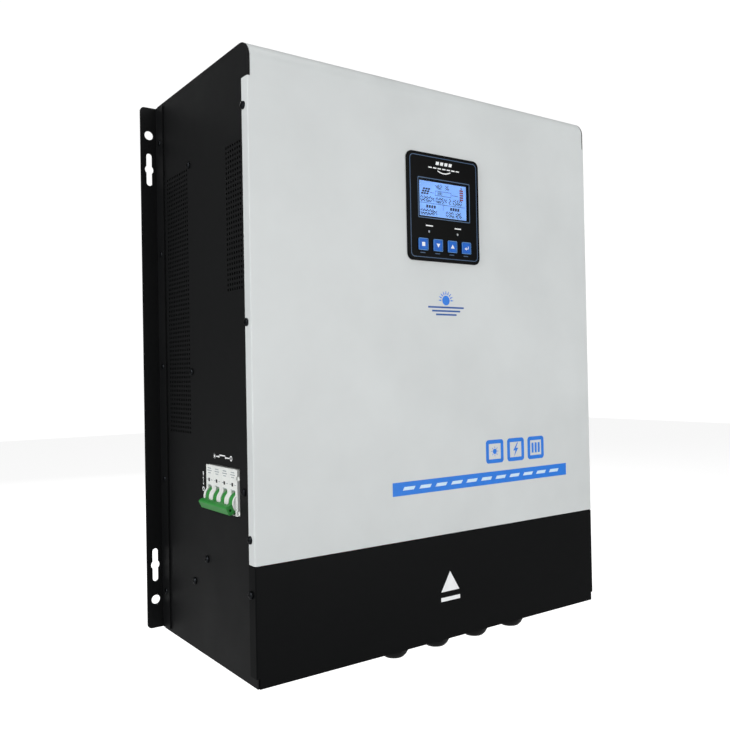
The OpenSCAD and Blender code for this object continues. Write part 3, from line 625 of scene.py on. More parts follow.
@dataclass(frozen=True)
class Backlit(Finish):
    """The lit face of a liquid-crystal display: an even glow broken by the gaps between its dots."""

    strength: float = 1.0
    dot_mm: float = 0.54

    def dress(self, tree: Tree, shader: bpy.types.Node, coord: Socket) -> None:
        """Adds the glow, which drifts in soft uneven clouds, and the grid of dots.

        Args:
            tree: The material's nodes.
            shader: The shader that the pattern feeds.
            coord: Object coordinates, in metres.
        """
        cloud = self.mottle(tree, shader, coord, 30.0, 0.88, 1.1)
        grid = add_node(tree, "ShaderNodeTexBrick", {
            "Vector": add_node(tree, "ShaderNodeMapping", {
                "Vector": coord, "Rotation": (math.radians(90), 0.0, 0.0),
            }).outputs["Vector"],
            "Scale": 1.0, "Brick Width": self.dot_mm * MM, "Row Height": self.dot_mm * MM,
            "Mortar Size": 0.05 * MM, "Color1": (1, 1, 1, 1), "Color2": (1, 1, 1, 1),
            "Mortar": (0.72, 0.76, 0.82, 1),
        }, offset=0.0)
        ramp = add_node(tree, "ShaderNodeValToRGB", {"Fac": cloud.outputs["Fac"]})
        ramp.color_ramp.elements[0].color = shade(self.colour, 0.9)
        ramp.color_ramp.elements[1].color = shade(self.colour, 1.15)
        lit = add_node(tree, "ShaderNodeMix", {
            0: 1.0, 6: ramp.outputs["Color"], 7: grid.outputs["Color"],
        }, data_type="RGBA", blend_type="MULTIPLY")
        tree.links.new(lit.outputs[2], shader.inputs["Emission Color"])
        shader.inputs["Emission Strength"].default_value = self.strength


@dataclass(frozen=True)
class ClearSheet(Finish):
    """Clear acrylic sheet with a hard polish."""

    def dress(self, tree: Tree, shader: bpy.types.Node, coord: Socket) -> None:
        """Makes it clear, with the faint smears of handling in its gloss.

        Args:
            tree: The material's nodes.
            shader: The shader that the pattern feeds.
            coord: Object coordinates, in metres.
        """
        shader.inputs["Transmission Weight"].default_value = 1.0
        smear = add_node(tree, "ShaderNodeTexNoise", {
            "Vector": coord, "Scale": 1 / (9 * MM), "Detail": 4.0,
        })
        gloss = add_node(tree, "ShaderNodeMapRange", {
            "Value": smear.outputs["Fac"], "To Min": self.roughness, "To Max": self.roughness + 0.06,
        })
        tree.links.new(gloss.outputs["Result"], shader.inputs["Roughness"])


@dataclass(frozen=True)
class CircuitLaminate(Finish):
    """Glass-epoxy laminate under solder mask, which shows its copper tracks as paler lines."""

    track_mm: float = 6.0

    def dress(self, tree: Tree, shader: bpy.types.Node, coord: Socket) -> None:
        """Adds the tracks and a glossy coat of mask.

        Args:
            tree: The material's nodes.
            shader: The shader that the pattern feeds.
            coord: Object coordinates, in metres.
        """
        turned = add_node(tree, "ShaderNodeMapping", {
            "Vector": coord, "Rotation": (math.radians(90), 0.0, 0.0),
        }).outputs["Vector"]
        tracks = add_node(tree, "ShaderNodeTexBrick", {
            "Vector": turned, "Scale": 1.0, "Brick Width": 5 * self.track_mm * MM,
            "Row Height": self.track_mm * MM, "Mortar Size": 0.9 * MM,
            "Color1": linear(self.colour), "Color2": shade(self.colour, 0.85),
            "Mortar": shade(self.colour, 1.5),
        }, offset=0.37, squash=0.6, squash_frequency=3)
        tree.links.new(tracks.outputs["Color"], shader.inputs["Base Color"])
        shader.inputs["Coat Weight"].default_value = 0.5
        shader.inputs["Coat Roughness"].default_value = 0.2
        bump = add_node(tree, "ShaderNodeBump", {
            "Height": tracks.outputs["Fac"], "Strength": 0.5, "Distance": 0.035 * MM,
        })
        tree.links.new(bump.outputs["Normal"], shader.inputs["Normal"])


@dataclass(frozen=True)
class Rubber(Finish):
    """Moulded rubber or silicone: soft sheen, a trace of light let in, and a fine matt grain."""

    depth_mm: float = 0.0

    def dress(self, tree: Tree, shader: bpy.types.Node, coord: Socket) -> None:
        """Adds the grain, and lets light in where the rubber is clear enough.

        Args:
            tree: The material's nodes.
            shader: The shader that the pattern feeds.
            coord: Object coordinates, in metres.
        """
        self.mottle(tree, shader, coord, 8.0, 0.92, 1.08)
        if self.depth_mm:
            shader.inputs["Subsurface Weight"].default_value = 0.2
            shader.inputs["Subsurface Scale"].default_value = self.depth_mm * MM
        grain = add_node(tree, "ShaderNodeTexNoise", {
            "Vector": coord, "Scale": 1 / (0.4 * MM), "Detail": 3.0,
        })
        bump = add_node(tree, "ShaderNodeBump", {
            "Height": grain.outputs["Fac"], "Strength": 0.5, "Distance": 0.02 * MM,
        })
        tree.links.new(bump.outputs["Normal"], shader.inputs["Normal"])


@dataclass(frozen=True)
class GlowingFloor(Finish):
    """The studio's pale floor, a matt white skin with an even glow."""

    glow: float = 0.86
    bounce: float = 0.06

    def dress(self, tree: Tree, shader: bpy.types.Node, coord: Socket) -> None:
        """Adds the glow and the faint mottling of rolled paint.

        Args:
            tree: The material's nodes.
            shader: The shader that the pattern feeds.
            coord: Object coordinates, in metres.
        """
        self.mottle(tree, shader, coord, 400.0, 0.98, 1.0)
        # The floor is pale to the eye, and throws less light up at the cabinet than it shows
        seen = add_node(tree, "ShaderNodeLightPath").outputs["Is Camera Ray"]
        glow = add_node(tree, "ShaderNodeMapRange", {
            "Value": seen, "To Min": self.bounce, "To Max": self.glow,
        }).outputs["Result"]
        shader.inputs["Emission Color"].default_value = (1, 1, 1, 1)
        tree.links.new(glow, shader.inputs["Emission Strength"])


# Polyester powder coats: the cover's pale grey-white and the cabinet's satin black
WHITE_COAT = PowderCoat("polyester_powder_coat_white", "#d2d6d6", 0.42)
BLACK_COAT = PowderCoat(
    "polyester_powder_coat_black", "#0c0d0e", 0.5, ior=1.28, peel_mm=1.8, relief_mm=0.04
)
BLACK_COVER_COAT = PowderCoat(
    "polyester_powder_coat_black_cover", "#050607", 0.46, ior=1.18, relief_mm=0.035
)
# Black-oxide steel screws, dull with a trace of oil
BLACK_STEEL = Metal("black_oxide_steel", "#2b2d30", 0.36)
# Zinc-plated sheet and screws, bright with cloudy spangle
ZINC = Metal("zinc_plated_steel", "#b9bdc1", 0.34)
# Extruded aluminium, its die lines along the fins
ALUMINIUM = Metal("extruded_aluminium", "#c6c9cc", 0.38, grain_mm=(0.4, 0.4, 30.0), relief_mm=0.02)
# Turned brass, yellow and bright with fine turning marks
BRASS = Metal("turned_brass", "#c8ad62", 0.28)
# Enamelled copper wire, amber-red under a clear lacquer
COPPER = Metal("enamelled_copper_wire", "#b4602c", 0.24, spread=0.05)
# ABS of the bezel, near black and half glossy
BEZEL_ABS = Moulded("abs_bezel_black", "#020303", 0.36, ior=1.16, grain_mm=0.5, relief_mm=0.008)
# Glass-filled nylon of the breaker's cases, warm white and dry
BREAKER_NYLON = Moulded("glass_filled_nylon_white", "#e6e9e6", 0.48)
# Moulded nylon of the toggles, leaf green with a slight polish
TOGGLE_NYLON = Moulded("nylon_toggle_green", "#2f8f3b", 0.36, coat=0.15)
# Moulded nylon of the glands, deep black and satin
GLAND_NYLON = Moulded("nylon_gland_black", "#090a0b", 0.42, ior=1.3)
# Moulded polyester of the fans, charcoal and dry
FAN_PBT = Moulded("pbt_fan_black", "#1a1b1d", 0.44)
# Moulded polyester of the relay cases, mid blue with a clean gloss
RELAY_PBT = Moulded("pbt_relay_blue", "#2b6fb0", 0.35)
# Moulding epoxy of chips and transistors, matt and nearly black
CHIP_EPOXY = Moulded("moulding_epoxy_black", "#1b1b1d", 0.55)
# Moulded polyamide of the terminal block, dark grey and dry
TERMINAL_PA = Moulded("polyamide_terminal_grey", "#3a3d40", 0.5)
# Epoxy-coated powder cores, olive green with the lumps of the dipped coat
FERRITE = Moulded("epoxy_coated_core_green", "#59684a", 0.5, grain_mm=1.4, relief_mm=0.06)
# Heat-shrunk vinyl sleeves of the capacitors, dark blue and glossy
SLEEVE = Moulded("shrink_sleeve_blue", "#21366a", 0.28, coat=0.3)
# Extruded vinyl of the leads and of the flat cable, smooth and half glossy
LEAD_PVC = Moulded("pvc_lead_red", "#b3261e", 0.4)
RIBBON_PVC = Moulded("pvc_ribbon_grey", "#8d9196", 0.45)
# Moulded silicone keys, strong blue, soft and a little translucent
KEY_SILICONE = Rubber("silicone_key_blue", "#0462c6", 0.34, ior=1.35, depth_mm=0.4)
# Moulded nitrile seals, dull and dark grey
SEAL_RUBBER = Rubber("nitrile_seal_black", "#303235", 0.6)
# Solder mask over copper tracks, glossy green
MASK_GREEN = CircuitLaminate("solder_mask_green", "#1b5a36", 0.4)
# Back-lit liquid-crystal glass, sky blue and faintly dotted
SCREEN = Backlit("lcd_backlit_blue", "#86b2f2", 0.5, strength=0.75)
# Cast acrylic window, clear with a hard polish
WINDOW = ClearSheet("acrylic_window_clear", "#f4f8fc", 0.03, ior=1.49)
# Cast epoxy of the unlit indicator lamps, milky
LAMP_EPOXY = Rubber("epoxy_lamp_diffuse", "#c4ced2", 0.25, ior=1.55, depth_mm=0.8)
# Screen-printed inks, each a thin matt film, and one light-blue film of painted highlight for the keys'
# rims
INK_WHITE = Ink("screen_ink_white", "#f4f6f7", 0.5)
INK_BLUE = Ink("screen_ink_blue", "#0a78e0", 0.45)
INK_NAVY = Ink("screen_ink_navy", "#0d4fa0", 0.45)
INK_SKY = Ink("screen_ink_pale_blue", "#cfe8fb", 0.5)
INK_GREY = Ink("screen_ink_grey", "#9aa3a8", 0.5)
INK_LINE = Ink("screen_ink_slate_blue", "#3c5a7c", 0.4)
# Painted highlight: a pale blue ring on each key stands in for the light on its rounded rim
KEY_EDGE_HIGHLIGHT = Ink("painted_key_edge_highlight", "#5f9bdc", 0.4)
INK_BLACK = Ink("screen_ink_black", "#121314", 0.5)
# Rolled matt paint of the studio floor, which a glow of its own keeps pale
FLOOR_PAINT = GlowingFloor("floor_paint_pale", "#a4a4a4", 0.7)
# Dots of the display that are switched on, dark through the blue glow
DOT_DARK = Ink("lcd_dot_dark", "#22365c", 0.6)
DOT_RED = Ink("lcd_dot_red", "#b04a5e", 0.6)


# ------------------------------------------------------------------ cabinet


@dataclass(frozen=True)
class VentField:
    """A field of square punched holes in a side panel, measured from its top row down."""

    middle_y: float
    columns: int
    rows: int
    top: float = 213.3
    pitch: float = 5.0
    hole: float = 2.6

    def starts(self, along_y: bool) -> list[float]:
        """Finds the lower edge of each hole.

        Args:
            along_y: Whether to go along the panel's depth, and not down its height.

        Returns:
            The edges, in millimetres.
        """
        if along_y:
            first = self.middle_y - (self.columns - 1) / 2 * self.pitch - self.hole / 2
            return [first + i * self.pitch for i in range(self.columns)]
        return [self.top - self.hole - i * self.pitch for i in range(self.rows)]

    def cuts(self, along_y: bool) -> list[float]:
        """Returns both edges of each hole."""
        return sorted(edge for start in self.starts(along_y) for edge in (start, start + self.hole))

    def holds(self, y: float, z: float, rim: float = 0.5) -> bool:
        """Says whether a point lies in the field.

        Args:
            y: The point's depth.
            z: Its height.
            rim: How far outside the outermost holes still counts.

        Returns:
            True inside the field.
        """
        across, up = self.cuts(True), self.cuts(False)
        return across[0] - rim < y < across[-1] + rim and up[0] - rim < z < up[-1] + rim

    def punched(self, y: float, z: float) -> bool:
        """Says whether a point lies in one of the holes.

        Args:
            y: The point's depth.
            z: Its height.

        Returns:
            True in a hole.
        """
        in_row = any(start < z < start + self.hole for start in self.starts(False))
        return in_row and any(start < y < start + self.hole for start in self.starts(True))


@dataclass
class Cabinet:
    """The folded sheet case with its perforated sides, covers, wall brackets and screws."""

    shop: Workshop
    sheet: float = 1.5
    front_step: float = 1.5
    lip_top: float = 269.0
    bend: float = 18.0
    sheet_edge: float = 0.25
    fold: float = 1.4
    screw_edge: float = 0.18
    window: tuple[float, float, float, float] = (-202.5, -128.5, -149.5, -102.5)
    fields: tuple[VentField, ...] = (VentField(-58.3, 12, 58), VentField(-199.6, 7, 29))

    def split(
        self, bm: bmesh.types.BMesh, faces: Iterable[bmesh.types.BMFace], axis: int, at: float
    ) -> None:
        """Cuts faces of a sheet along a line.

        Args:
            bm: The sheet, in millimetres.
            faces: The faces to cut.
            axis: 1 for a line at one depth, 2 for a line at one height.
            at: Where the line lies.
        """
        faces = list(faces)
        edges = {e for f in faces for e in f.edges}
        corners = {v for f in faces for v in f.verts}
        normal, point = Vector(), Vector()
        normal[axis], point[axis] = 1, at
        bmesh.ops.bisect_plane(
            bm, geom=[*corners, *edges, *faces], plane_co=point, plane_no=normal, dist=1e-4
        )

    def remove(self, bm: bmesh.types.BMesh, unwanted: Callable[[float, float], bool]) -> None:
        """Deletes faces of a sheet.

        Args:
            bm: The sheet, in millimetres.
            unwanted: Says of a depth and a height whether a face with its middle there goes.
        """
        middles = [(f, f.calc_center_median()) for f in bm.faces]
        gone = [f for f, middle in middles if unwanted(middle.y, middle.z)]
        bmesh.ops.delete(bm, geom=gone, context="FACES")

    def side_sheet(self, node: str) -> bmesh.types.BMesh:
        """Makes a side panel with every one of its vent holes.

        Args:
            node: The frame's plain panel, which gives the outline.

        Returns:
            The punched sheet, in metres and in place.
        """
        low, middle, high = (corner / MM for corner in span(node))
        left = middle.x < 0
        bm = bmesh.new()
        outline = [(low.y, low.z), (high.y, low.z), (high.y, high.z), (low.y, high.z)]
        corners = [bm.verts.new((0, y, z)) for y, z in outline]
        bm.faces.new(corners)
        bmesh.ops.bevel(
            bm, geom=[corners[3]], offset=self.bend, offset_type="OFFSET", segments=14, profile=0.5,
            affect="VERTICES", material=-1,
        )
        for axis, at in ((1, low.y + self.front_step), (2, self.lip_top)):
            self.split(bm, bm.faces, axis, at)
        self.remove(bm, lambda y, z: y < low.y + self.front_step and z < self.lip_top)
        if left:
            y0, y1, z0, z1 = self.window
            for axis, at in ((1, y0), (1, y1), (2, z0), (2, z1)):
                self.split(bm, bm.faces, axis, at)
            self.remove(bm, lambda y, z: y0 < y < y1 and z0 < z < z1)
        for field_ in self.fields:
            for along_y, axis in ((True, 1), (False, 2)):
                cuts = field_.cuts(along_y)
                for at in (cuts[0], cuts[-1]):
                    self.split(bm, bm.faces, axis, at)
            for along_y, axis in ((True, 1), (False, 2)):
                for at in field_.cuts(along_y)[1:-1]:
                    inside = [
                        f for f in bm.faces
                        if field_.holds(f.calc_center_median().y, f.calc_center_median().z)
                        and min(v.co[axis] for v in f.verts) < at < max(v.co[axis] for v in f.verts)
                    ]
                    self.split(bm, inside, axis, at)
            self.remove(bm, field_.punched)
        return self.thickened(bm, low.x if left else high.x, left)

    def thickened(self, bm: bmesh.types.BMesh, outer_x: float, left: bool) -> bmesh.types.BMesh:
        """Gives the flat sheet its thickness and rounds the edges of its outline.

        Args:
            bm: The flat sheet at x = 0, in millimetres.
            outer_x: Where its outer face goes.
            left: Whether it is the left panel.

        Returns:
            The sheet, in metres and in place.
        """
        bmesh.ops.recalc_face_normals(bm, faces=bm.faces[:])
        bmesh.ops.solidify(bm, geom=bm.faces[:], thickness=self.sheet)
        xs = [v.co.x for v in bm.verts]
        shift = outer_x - (min(xs) if left else max(xs))
        bmesh.ops.translate(bm, verts=bm.verts, vec=(shift, 0, 0))
        bmesh.ops.recalc_face_normals(bm, faces=bm.faces[:])
        bmesh.ops.scale(bm, verts=bm.verts, vec=(MM, MM, MM))
        rim = [
            e for e in bm.edges
            if e.is_manifold and e.calc_face_angle(0.0) > CORNER
            and abs(e.verts[0].co.x - e.verts[1].co.x) < 0.1 * MM
            and not any(f.holds(e.verts[0].co.y / MM, e.verts[0].co.z / MM, 1.5) for f in self.fields)
        ]
        bevel(bm, rim, self.sheet_edge, 2)
        return bm

    def is_fold(self, edge: bmesh.types.BMEdge) -> float:
        """Finds the two long folds beside a cover's face.

        Args:
            edge: An edge of the cover.

        Returns:
            How wide the edge is rounded in millimetres, or 0 for one that isn't a fold.
        """
        (a, b), front = (v.co for v in edge.verts), min(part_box("front_cover")[0].y, 0.0)
        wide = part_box("front_cover")[1].x
        upright = abs(a.x - b.x) < 1e-6 and abs(a.y - b.y) < 1e-6
        at_corner = abs(abs(a.x) - wide) < 1e-5 and abs(a.y - front) < 1e-5
        return self.fold if upright and at_corner and abs(a.z - b.z) > 0.01 else 0.0

    def build(self) -> None:
        """Builds the sheets, covers, brackets and screws."""
        for node in ("left_side_panel", "right_side_panel"):
            self.shop.publish(
                self.side_sheet(node), f"{node}_punched", BLACK_COAT, "black_powder_coat",
                replaces=(node,),
            )
        for node, finish, slot in (
            ("front_cover", WHITE_COAT, "white_powder_coat"),
            ("terminal_cover", BLACK_COVER_COAT, "black_cover_coat"),
        ):
            self.shop.softened(node, finish, slot, self.sheet_edge, folds=self.is_fold)
        for node in ("left_wall_bracket", "right_wall_bracket"):
            self.shop.softened(node, BLACK_COAT, "black_powder_coat", self.sheet_edge)
        self.shop.dress(("rear_panel", "top_panel", "bottom_panel"), BLACK_COAT)
        self.shop.dress(("mounting_tray",), ZINC)
        for node in ("cover_screws", "terminal_cover_screws", "tray_screws", "bracket_rivets"):
            self.shop.softened(node, BLACK_STEEL, "black_oxide_steel", self.screw_edge)


# ------------------------------------------------------------------ display


@dataclass
class Display:
    """The bezel with its window, lit glass, lamps and four keys."""

    shop: Workshop
    face: Vector = field(default_factory=Vector)
    rim_width: float = 0.9
    ink: float = 0.05
    lit_size: Point = (68.6, 38.2)
    lit_above: float = 9.6
    lit_depth: float = 0.35
    key_icons: float = 4.2
    # Width of the painted highlight ring on each key, and its inset from the key's side
    key_highlight_width: float = 0.55
    key_inset: float = 0.5
    keys: tuple[str, ...] = ("menu", "down", "up", "enter")

    def __post_init__(self) -> None:
        """Finds the middle of the bezel's face."""
        low, middle, _ = span("display_bezel")
        self.face = Vector((middle.x, low.y, middle.z))

    def is_rim(self, edge: bmesh.types.BMEdge) -> float:
        """Finds the outline of the bezel's face.

        Args:
            edge: An edge of the bezel.

        Returns:
            How wide the edge is rounded in millimetres, or 0 for one that isn't in the outline.
        """
        a, b = (v.co for v in edge.verts)
        low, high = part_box("display_bezel")
        on_face = abs(a.y - low.y) < 1e-5 and abs(b.y - low.y) < 1e-5
        inset = min(min(p.x - low.x, high.x - p.x) for p in (a, b))
        drop = min(min(p.z - low.z, high.z - p.z) for p in (a, b))
        return self.rim_width if on_face and (inset < 3 * MM or drop < 3 * MM) else 0.0

    def number(self, page: Drawing, left: Point, height: float, digits: str) -> None:
        """Draws digits in seven bars each.

        Args:
            page: The drawing they go into.
            left: The lower left corner of the first.
            height: Their height.
            digits: The digits, in which a dot is a decimal point.
        """
        bars = {
            "0": "abcdef", "1": "bc", "2": "abged", "3": "abgcd", "4": "fgbc", "5": "afgcd",
            "6": "afgedc", "7": "abc", "8": "abcdefg", "9": "abcdfg",
        }
        wide, t = height * 0.5, height * 0.24
        place = {
            "a": ((wide / 2, height), (wide - t, t)), "g": ((wide / 2, height / 2), (wide - t, t)),
            "d": ((wide / 2, 0), (wide - t, t)), "f": ((0, 0.75 * height), (t, height / 2 - t)),
            "b": ((wide, 0.75 * height), (t, height / 2 - t)),
            "e": ((0, height / 4), (t, height / 2 - t)),
            "c": ((wide, height / 4), (t, height / 2 - t)),
        }
        x, y = left
        for digit in digits:
            if digit == ".":
                page.rectangle((x - wide * 0.12, y), (t, t))
                x += wide * 0.25
                continue
            for bar in bars[digit]:
                (u, v), size = place[bar]
                page.rectangle((x + u, y + v), size)
            x += wide * 1.45

    def screen_page(self) -> tuple[Drawing, Drawing]:
        """Draws what the glass shows: a solar panel, readings, battery bars and two columns.

        Returns:
            The dark dots, and the red ones.
        """
        dark, red = Drawing(), Drawing()
        for i in range(3):
            for k in range(3):
                dark.rectangle((-29.6 + i * 3.6 + k * 1.3, 5.4 + k * 2.6), (2.9, 2.0), lean=1.0)
        dark.rectangle((-15.6, 7.0), (6.4, 0.5))
        dark.rectangle((17.4, 7.0), (9.0, 0.5))
        self.number(dark, (-10.4, 12.2), 4.2, "48.2")
        self.number(dark, (3.4, 12.2), 4.2, "36")
        self.number(dark, (-9.2, 5.6), 3.0, "1280")
        dark.rounded((0.4, 7.1), (23.4, 5.4), 0.6, 0.45)
        for i in range(5):
            red.rectangle((27.3, 3.4 + i * 2.6), (5.4, 1.8))
        red.rectangle((27.3, 16.2), (2.4, 1.2))
        self.number(dark, (-31.6, -3.0), 5.2, "028.04")
        self.number(dark, (-10.0, -3.0), 5.2, "0.054")
        self.number(dark, (8.8, -3.0), 5.2, "21.560")
        dark.rectangle((0, -4.9), (65.0, 0.5))
        dark.rectangle((0, -8.0), (0.5, 5.8))
        for u in (-17.5, 17.0):
            for i in range(4):
                dark.rectangle((u - 5.4 + i * 3.6, -8.4), (2.6, 3.3), lean=0.5)
        self.number(dark, (-31.6, -17.2), 5.2, "000.084")
        self.number(dark, (4.4, -17.2), 5.2, "030.126")
        return dark, red

    def face_marks(self) -> tuple[Drawing, Drawing]:
        """Draws the marks printed on the bezel.

        Returns:
            The white marks, and the slate-blue lines.
        """
        white, line = Drawing(), Drawing()
        line.rounded((0, 0), (96.6, 111.0), 5.2, 0.75)
        line.rounded((0, self.lit_above), (75.4, 44.4), 1.6, 1.0)
        for i in range(4):
            white.rectangle((-9.3 + i * 6.2, 49.2), (4.3, 3.6), lean=0.9)
        for i in range(7):
            white.rectangle((-19.8 + i * 6.6, 43.6), (4.9, 1.3), lean=0.4)
        white.band((0, 58.6), 20.4, 1.2, 242, 298)
        for u, width in ((-22.3, 10.0), (19.0, 9.4)):
            white.rectangle((u, -20.6), (width, 1.3))
        for u in (-32.1, -11.3, 9.5, 30.3):
            line.rectangle((u, -50.4), (6.8, 0.9))
        return white, line

    def key_icon(self, key: str) -> Drawing:
        """Draws the white sign on a key.

        Args:
            key: The key's name.

        Returns:
            The drawing, whose origin is the key's middle.
        """
        page, s = Drawing(), self.key_icons
        if key == "menu":
            page.rounded((0, 0), (s * 1.05, s * 1.05), 0.5)
        elif key == "down":
            page.polygon([(-s * 0.62, s * 0.45), (0, -s * 0.6), (s * 0.62, s * 0.45)])
        elif key == "up":
            page.polygon([(-s * 0.62, -s * 0.45), (s * 0.62, -s * 0.45), (0, s * 0.6)])
        else:
            page.rectangle((0.5, -s * 0.2), (s * 0.95, 0.8))
            page.rectangle((s * 0.5 + 0.4, s * 0.12), (0.8, s * 0.5 + 0.9))
            page.polygon([(-s * 0.72, -s * 0.2), (-s * 0.05, s * 0.22), (-s * 0.05, -s * 0.62)])
        return page

    def build(self) -> None:
        """Builds the bezel, its marks, the lit glass, and the keys with a painted highlight ring on
        each.
        """
        shop, front = self.shop, Facing.FRONT
        shop.softened(
            "display_bezel", BEZEL_ABS, "bezel_plastic", 0.22, segments=2, folds=self.is_rim
        )
        white, line = self.face_marks()
        shop.publish(
            white.stood(front, self.face, self.ink), "bezel_white_marks", INK_WHITE, "bezel_plastic"
        )
        shop.publish(
            line.stood(front, self.face, self.ink), "bezel_trim_lines", INK_LINE, "bezel_plastic"
        )
        module_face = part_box("lcd_module")[0].y + (0.5 - self.lit_depth) * MM
        lit = Drawing()
        lit.rounded((0, 0), self.lit_size, 0.4)
        centre = Vector((
            self.face.x, module_face + self.lit_depth * MM, self.face.z + self.lit_above * MM,
        ))
        shop.publish(lit.stood(front, centre, self.lit_depth), "lit_glass", SCREEN, "lcd_panel")
        centre.y = module_face
        dark, red = self.screen_page()
        shop.publish(dark.stood(front, centre, self.ink), "glass_dark_dots", DOT_DARK, "lcd_panel")
        shop.publish(red.stood(front, centre, self.ink), "glass_red_dots", DOT_RED, "lcd_panel")
        shop.dress(("lcd_module", "tact_switches"), GLAND_NYLON)
        shop.dress(("display_board",), MASK_GREEN)
        shop.dress(("display_window",), WINDOW)
        shop.dress(("indicator_leds",), LAMP_EPOXY)
        shop.dress(("display_screws",), ZINC)
        for key in self.keys:
            node = f"{key}_button"
            shop.softened(node, KEY_SILICONE, "blue_silicone", 0.35, body=node, segments=3)
            low, middle, high = span(node)
            at = Vector((middle.x, low.y, middle.z))
            icon = self.key_icon(key).stood(front, at, self.ink)
            shop.publish(icon, f"{key}_key_sign", INK_WHITE, "blue_silicone", body=node)
            # Painted highlight: a pale ring just inside the key's side stands in for the light on its
            # rounded rim
            frame, side = Drawing(), (high.x - low.x) / MM - 2 * self.key_inset
            frame.rounded((0, 0), (side, side), 0.9, self.key_highlight_width)
            shop.publish(
                frame.stood(front, at, self.ink), f"{key}_key_highlight_ring", KEY_EDGE_HIGHLIGHT, "blue_silicone",
                body=node,
            )


# ------------------------------------------------------------------ breaker


@dataclass
class Breaker:
    """The four-pole circuit breaker on its rail, with its marks and its tied toggles."""

    shop: Workshop
    face_out: float = 63.5
    poles: int = 4
    pole: float = 18.0
    case_edge: float = 0.4
    toggle_edge: float = 0.5
    mark: float = 0.04

    def pole_marks(self) -> tuple[Drawing, Drawing]:
        """Draws the bars printed on each pole, and the flag in its little window.

        Returns:
            The grey bars, and the dark flags. Their origin is the middle of the face.
        """
        grey, flag = Drawing(), Drawing()
        for i in range(self.poles):
            u = (i - (self.poles - 1) / 2) * self.pole
            for v, width in ((19.2, 8.0), (16.8, 10.5), (14.4, 6.5)):
                grey.rectangle((u - 1.0, v), (width, 0.9))
            grey.rectangle((u - 5.6, 7.3), (4.4, 0.6))
            grey.rectangle((u + 4.2, 7.3), (4.4, 0.6))
            grey.rectangle((u - 1.4, 2.0), (8.6, 0.7))
            flag.rectangle((u - 1.9, 7.3), (3.6, 3.4))
        return grey, flag

    def build(self) -> None:
        """Builds the breaker's case, toggles and mountings."""
        shop = self.shop
        shop.softened("breaker_body", BREAKER_NYLON, "breaker_white", self.case_edge)
        shop.softened(
            "breaker_toggles", TOGGLE_NYLON, "toggle_green", self.toggle_edge, body="breaker_handle",
            segments=3,
        )
        _, middle, high = span("breaker_body")
        face = Vector((high.x - self.face_out * MM, middle.y, middle.z))
        grey, flag = self.pole_marks()
        shop.publish(
            grey.stood(Facing.LEFT, face, self.mark), "breaker_grey_bars", INK_GREY, "breaker_white"
        )
        shop.publish(
            flag.stood(Facing.LEFT, face, self.mark), "breaker_flags", INK_BLACK, "black_plastic"
        )
        shop.softened("breaker_bracket_screws", BLACK_STEEL, "black_oxide_steel", 0.18)
        shop.dress(("din_rail", "breaker_bracket", "breaker_terminal_screws"), ZINC)
        shop.dress(("breaker_leads",), LEAD_PVC)


# ------------------------------------------------------------------ cooling


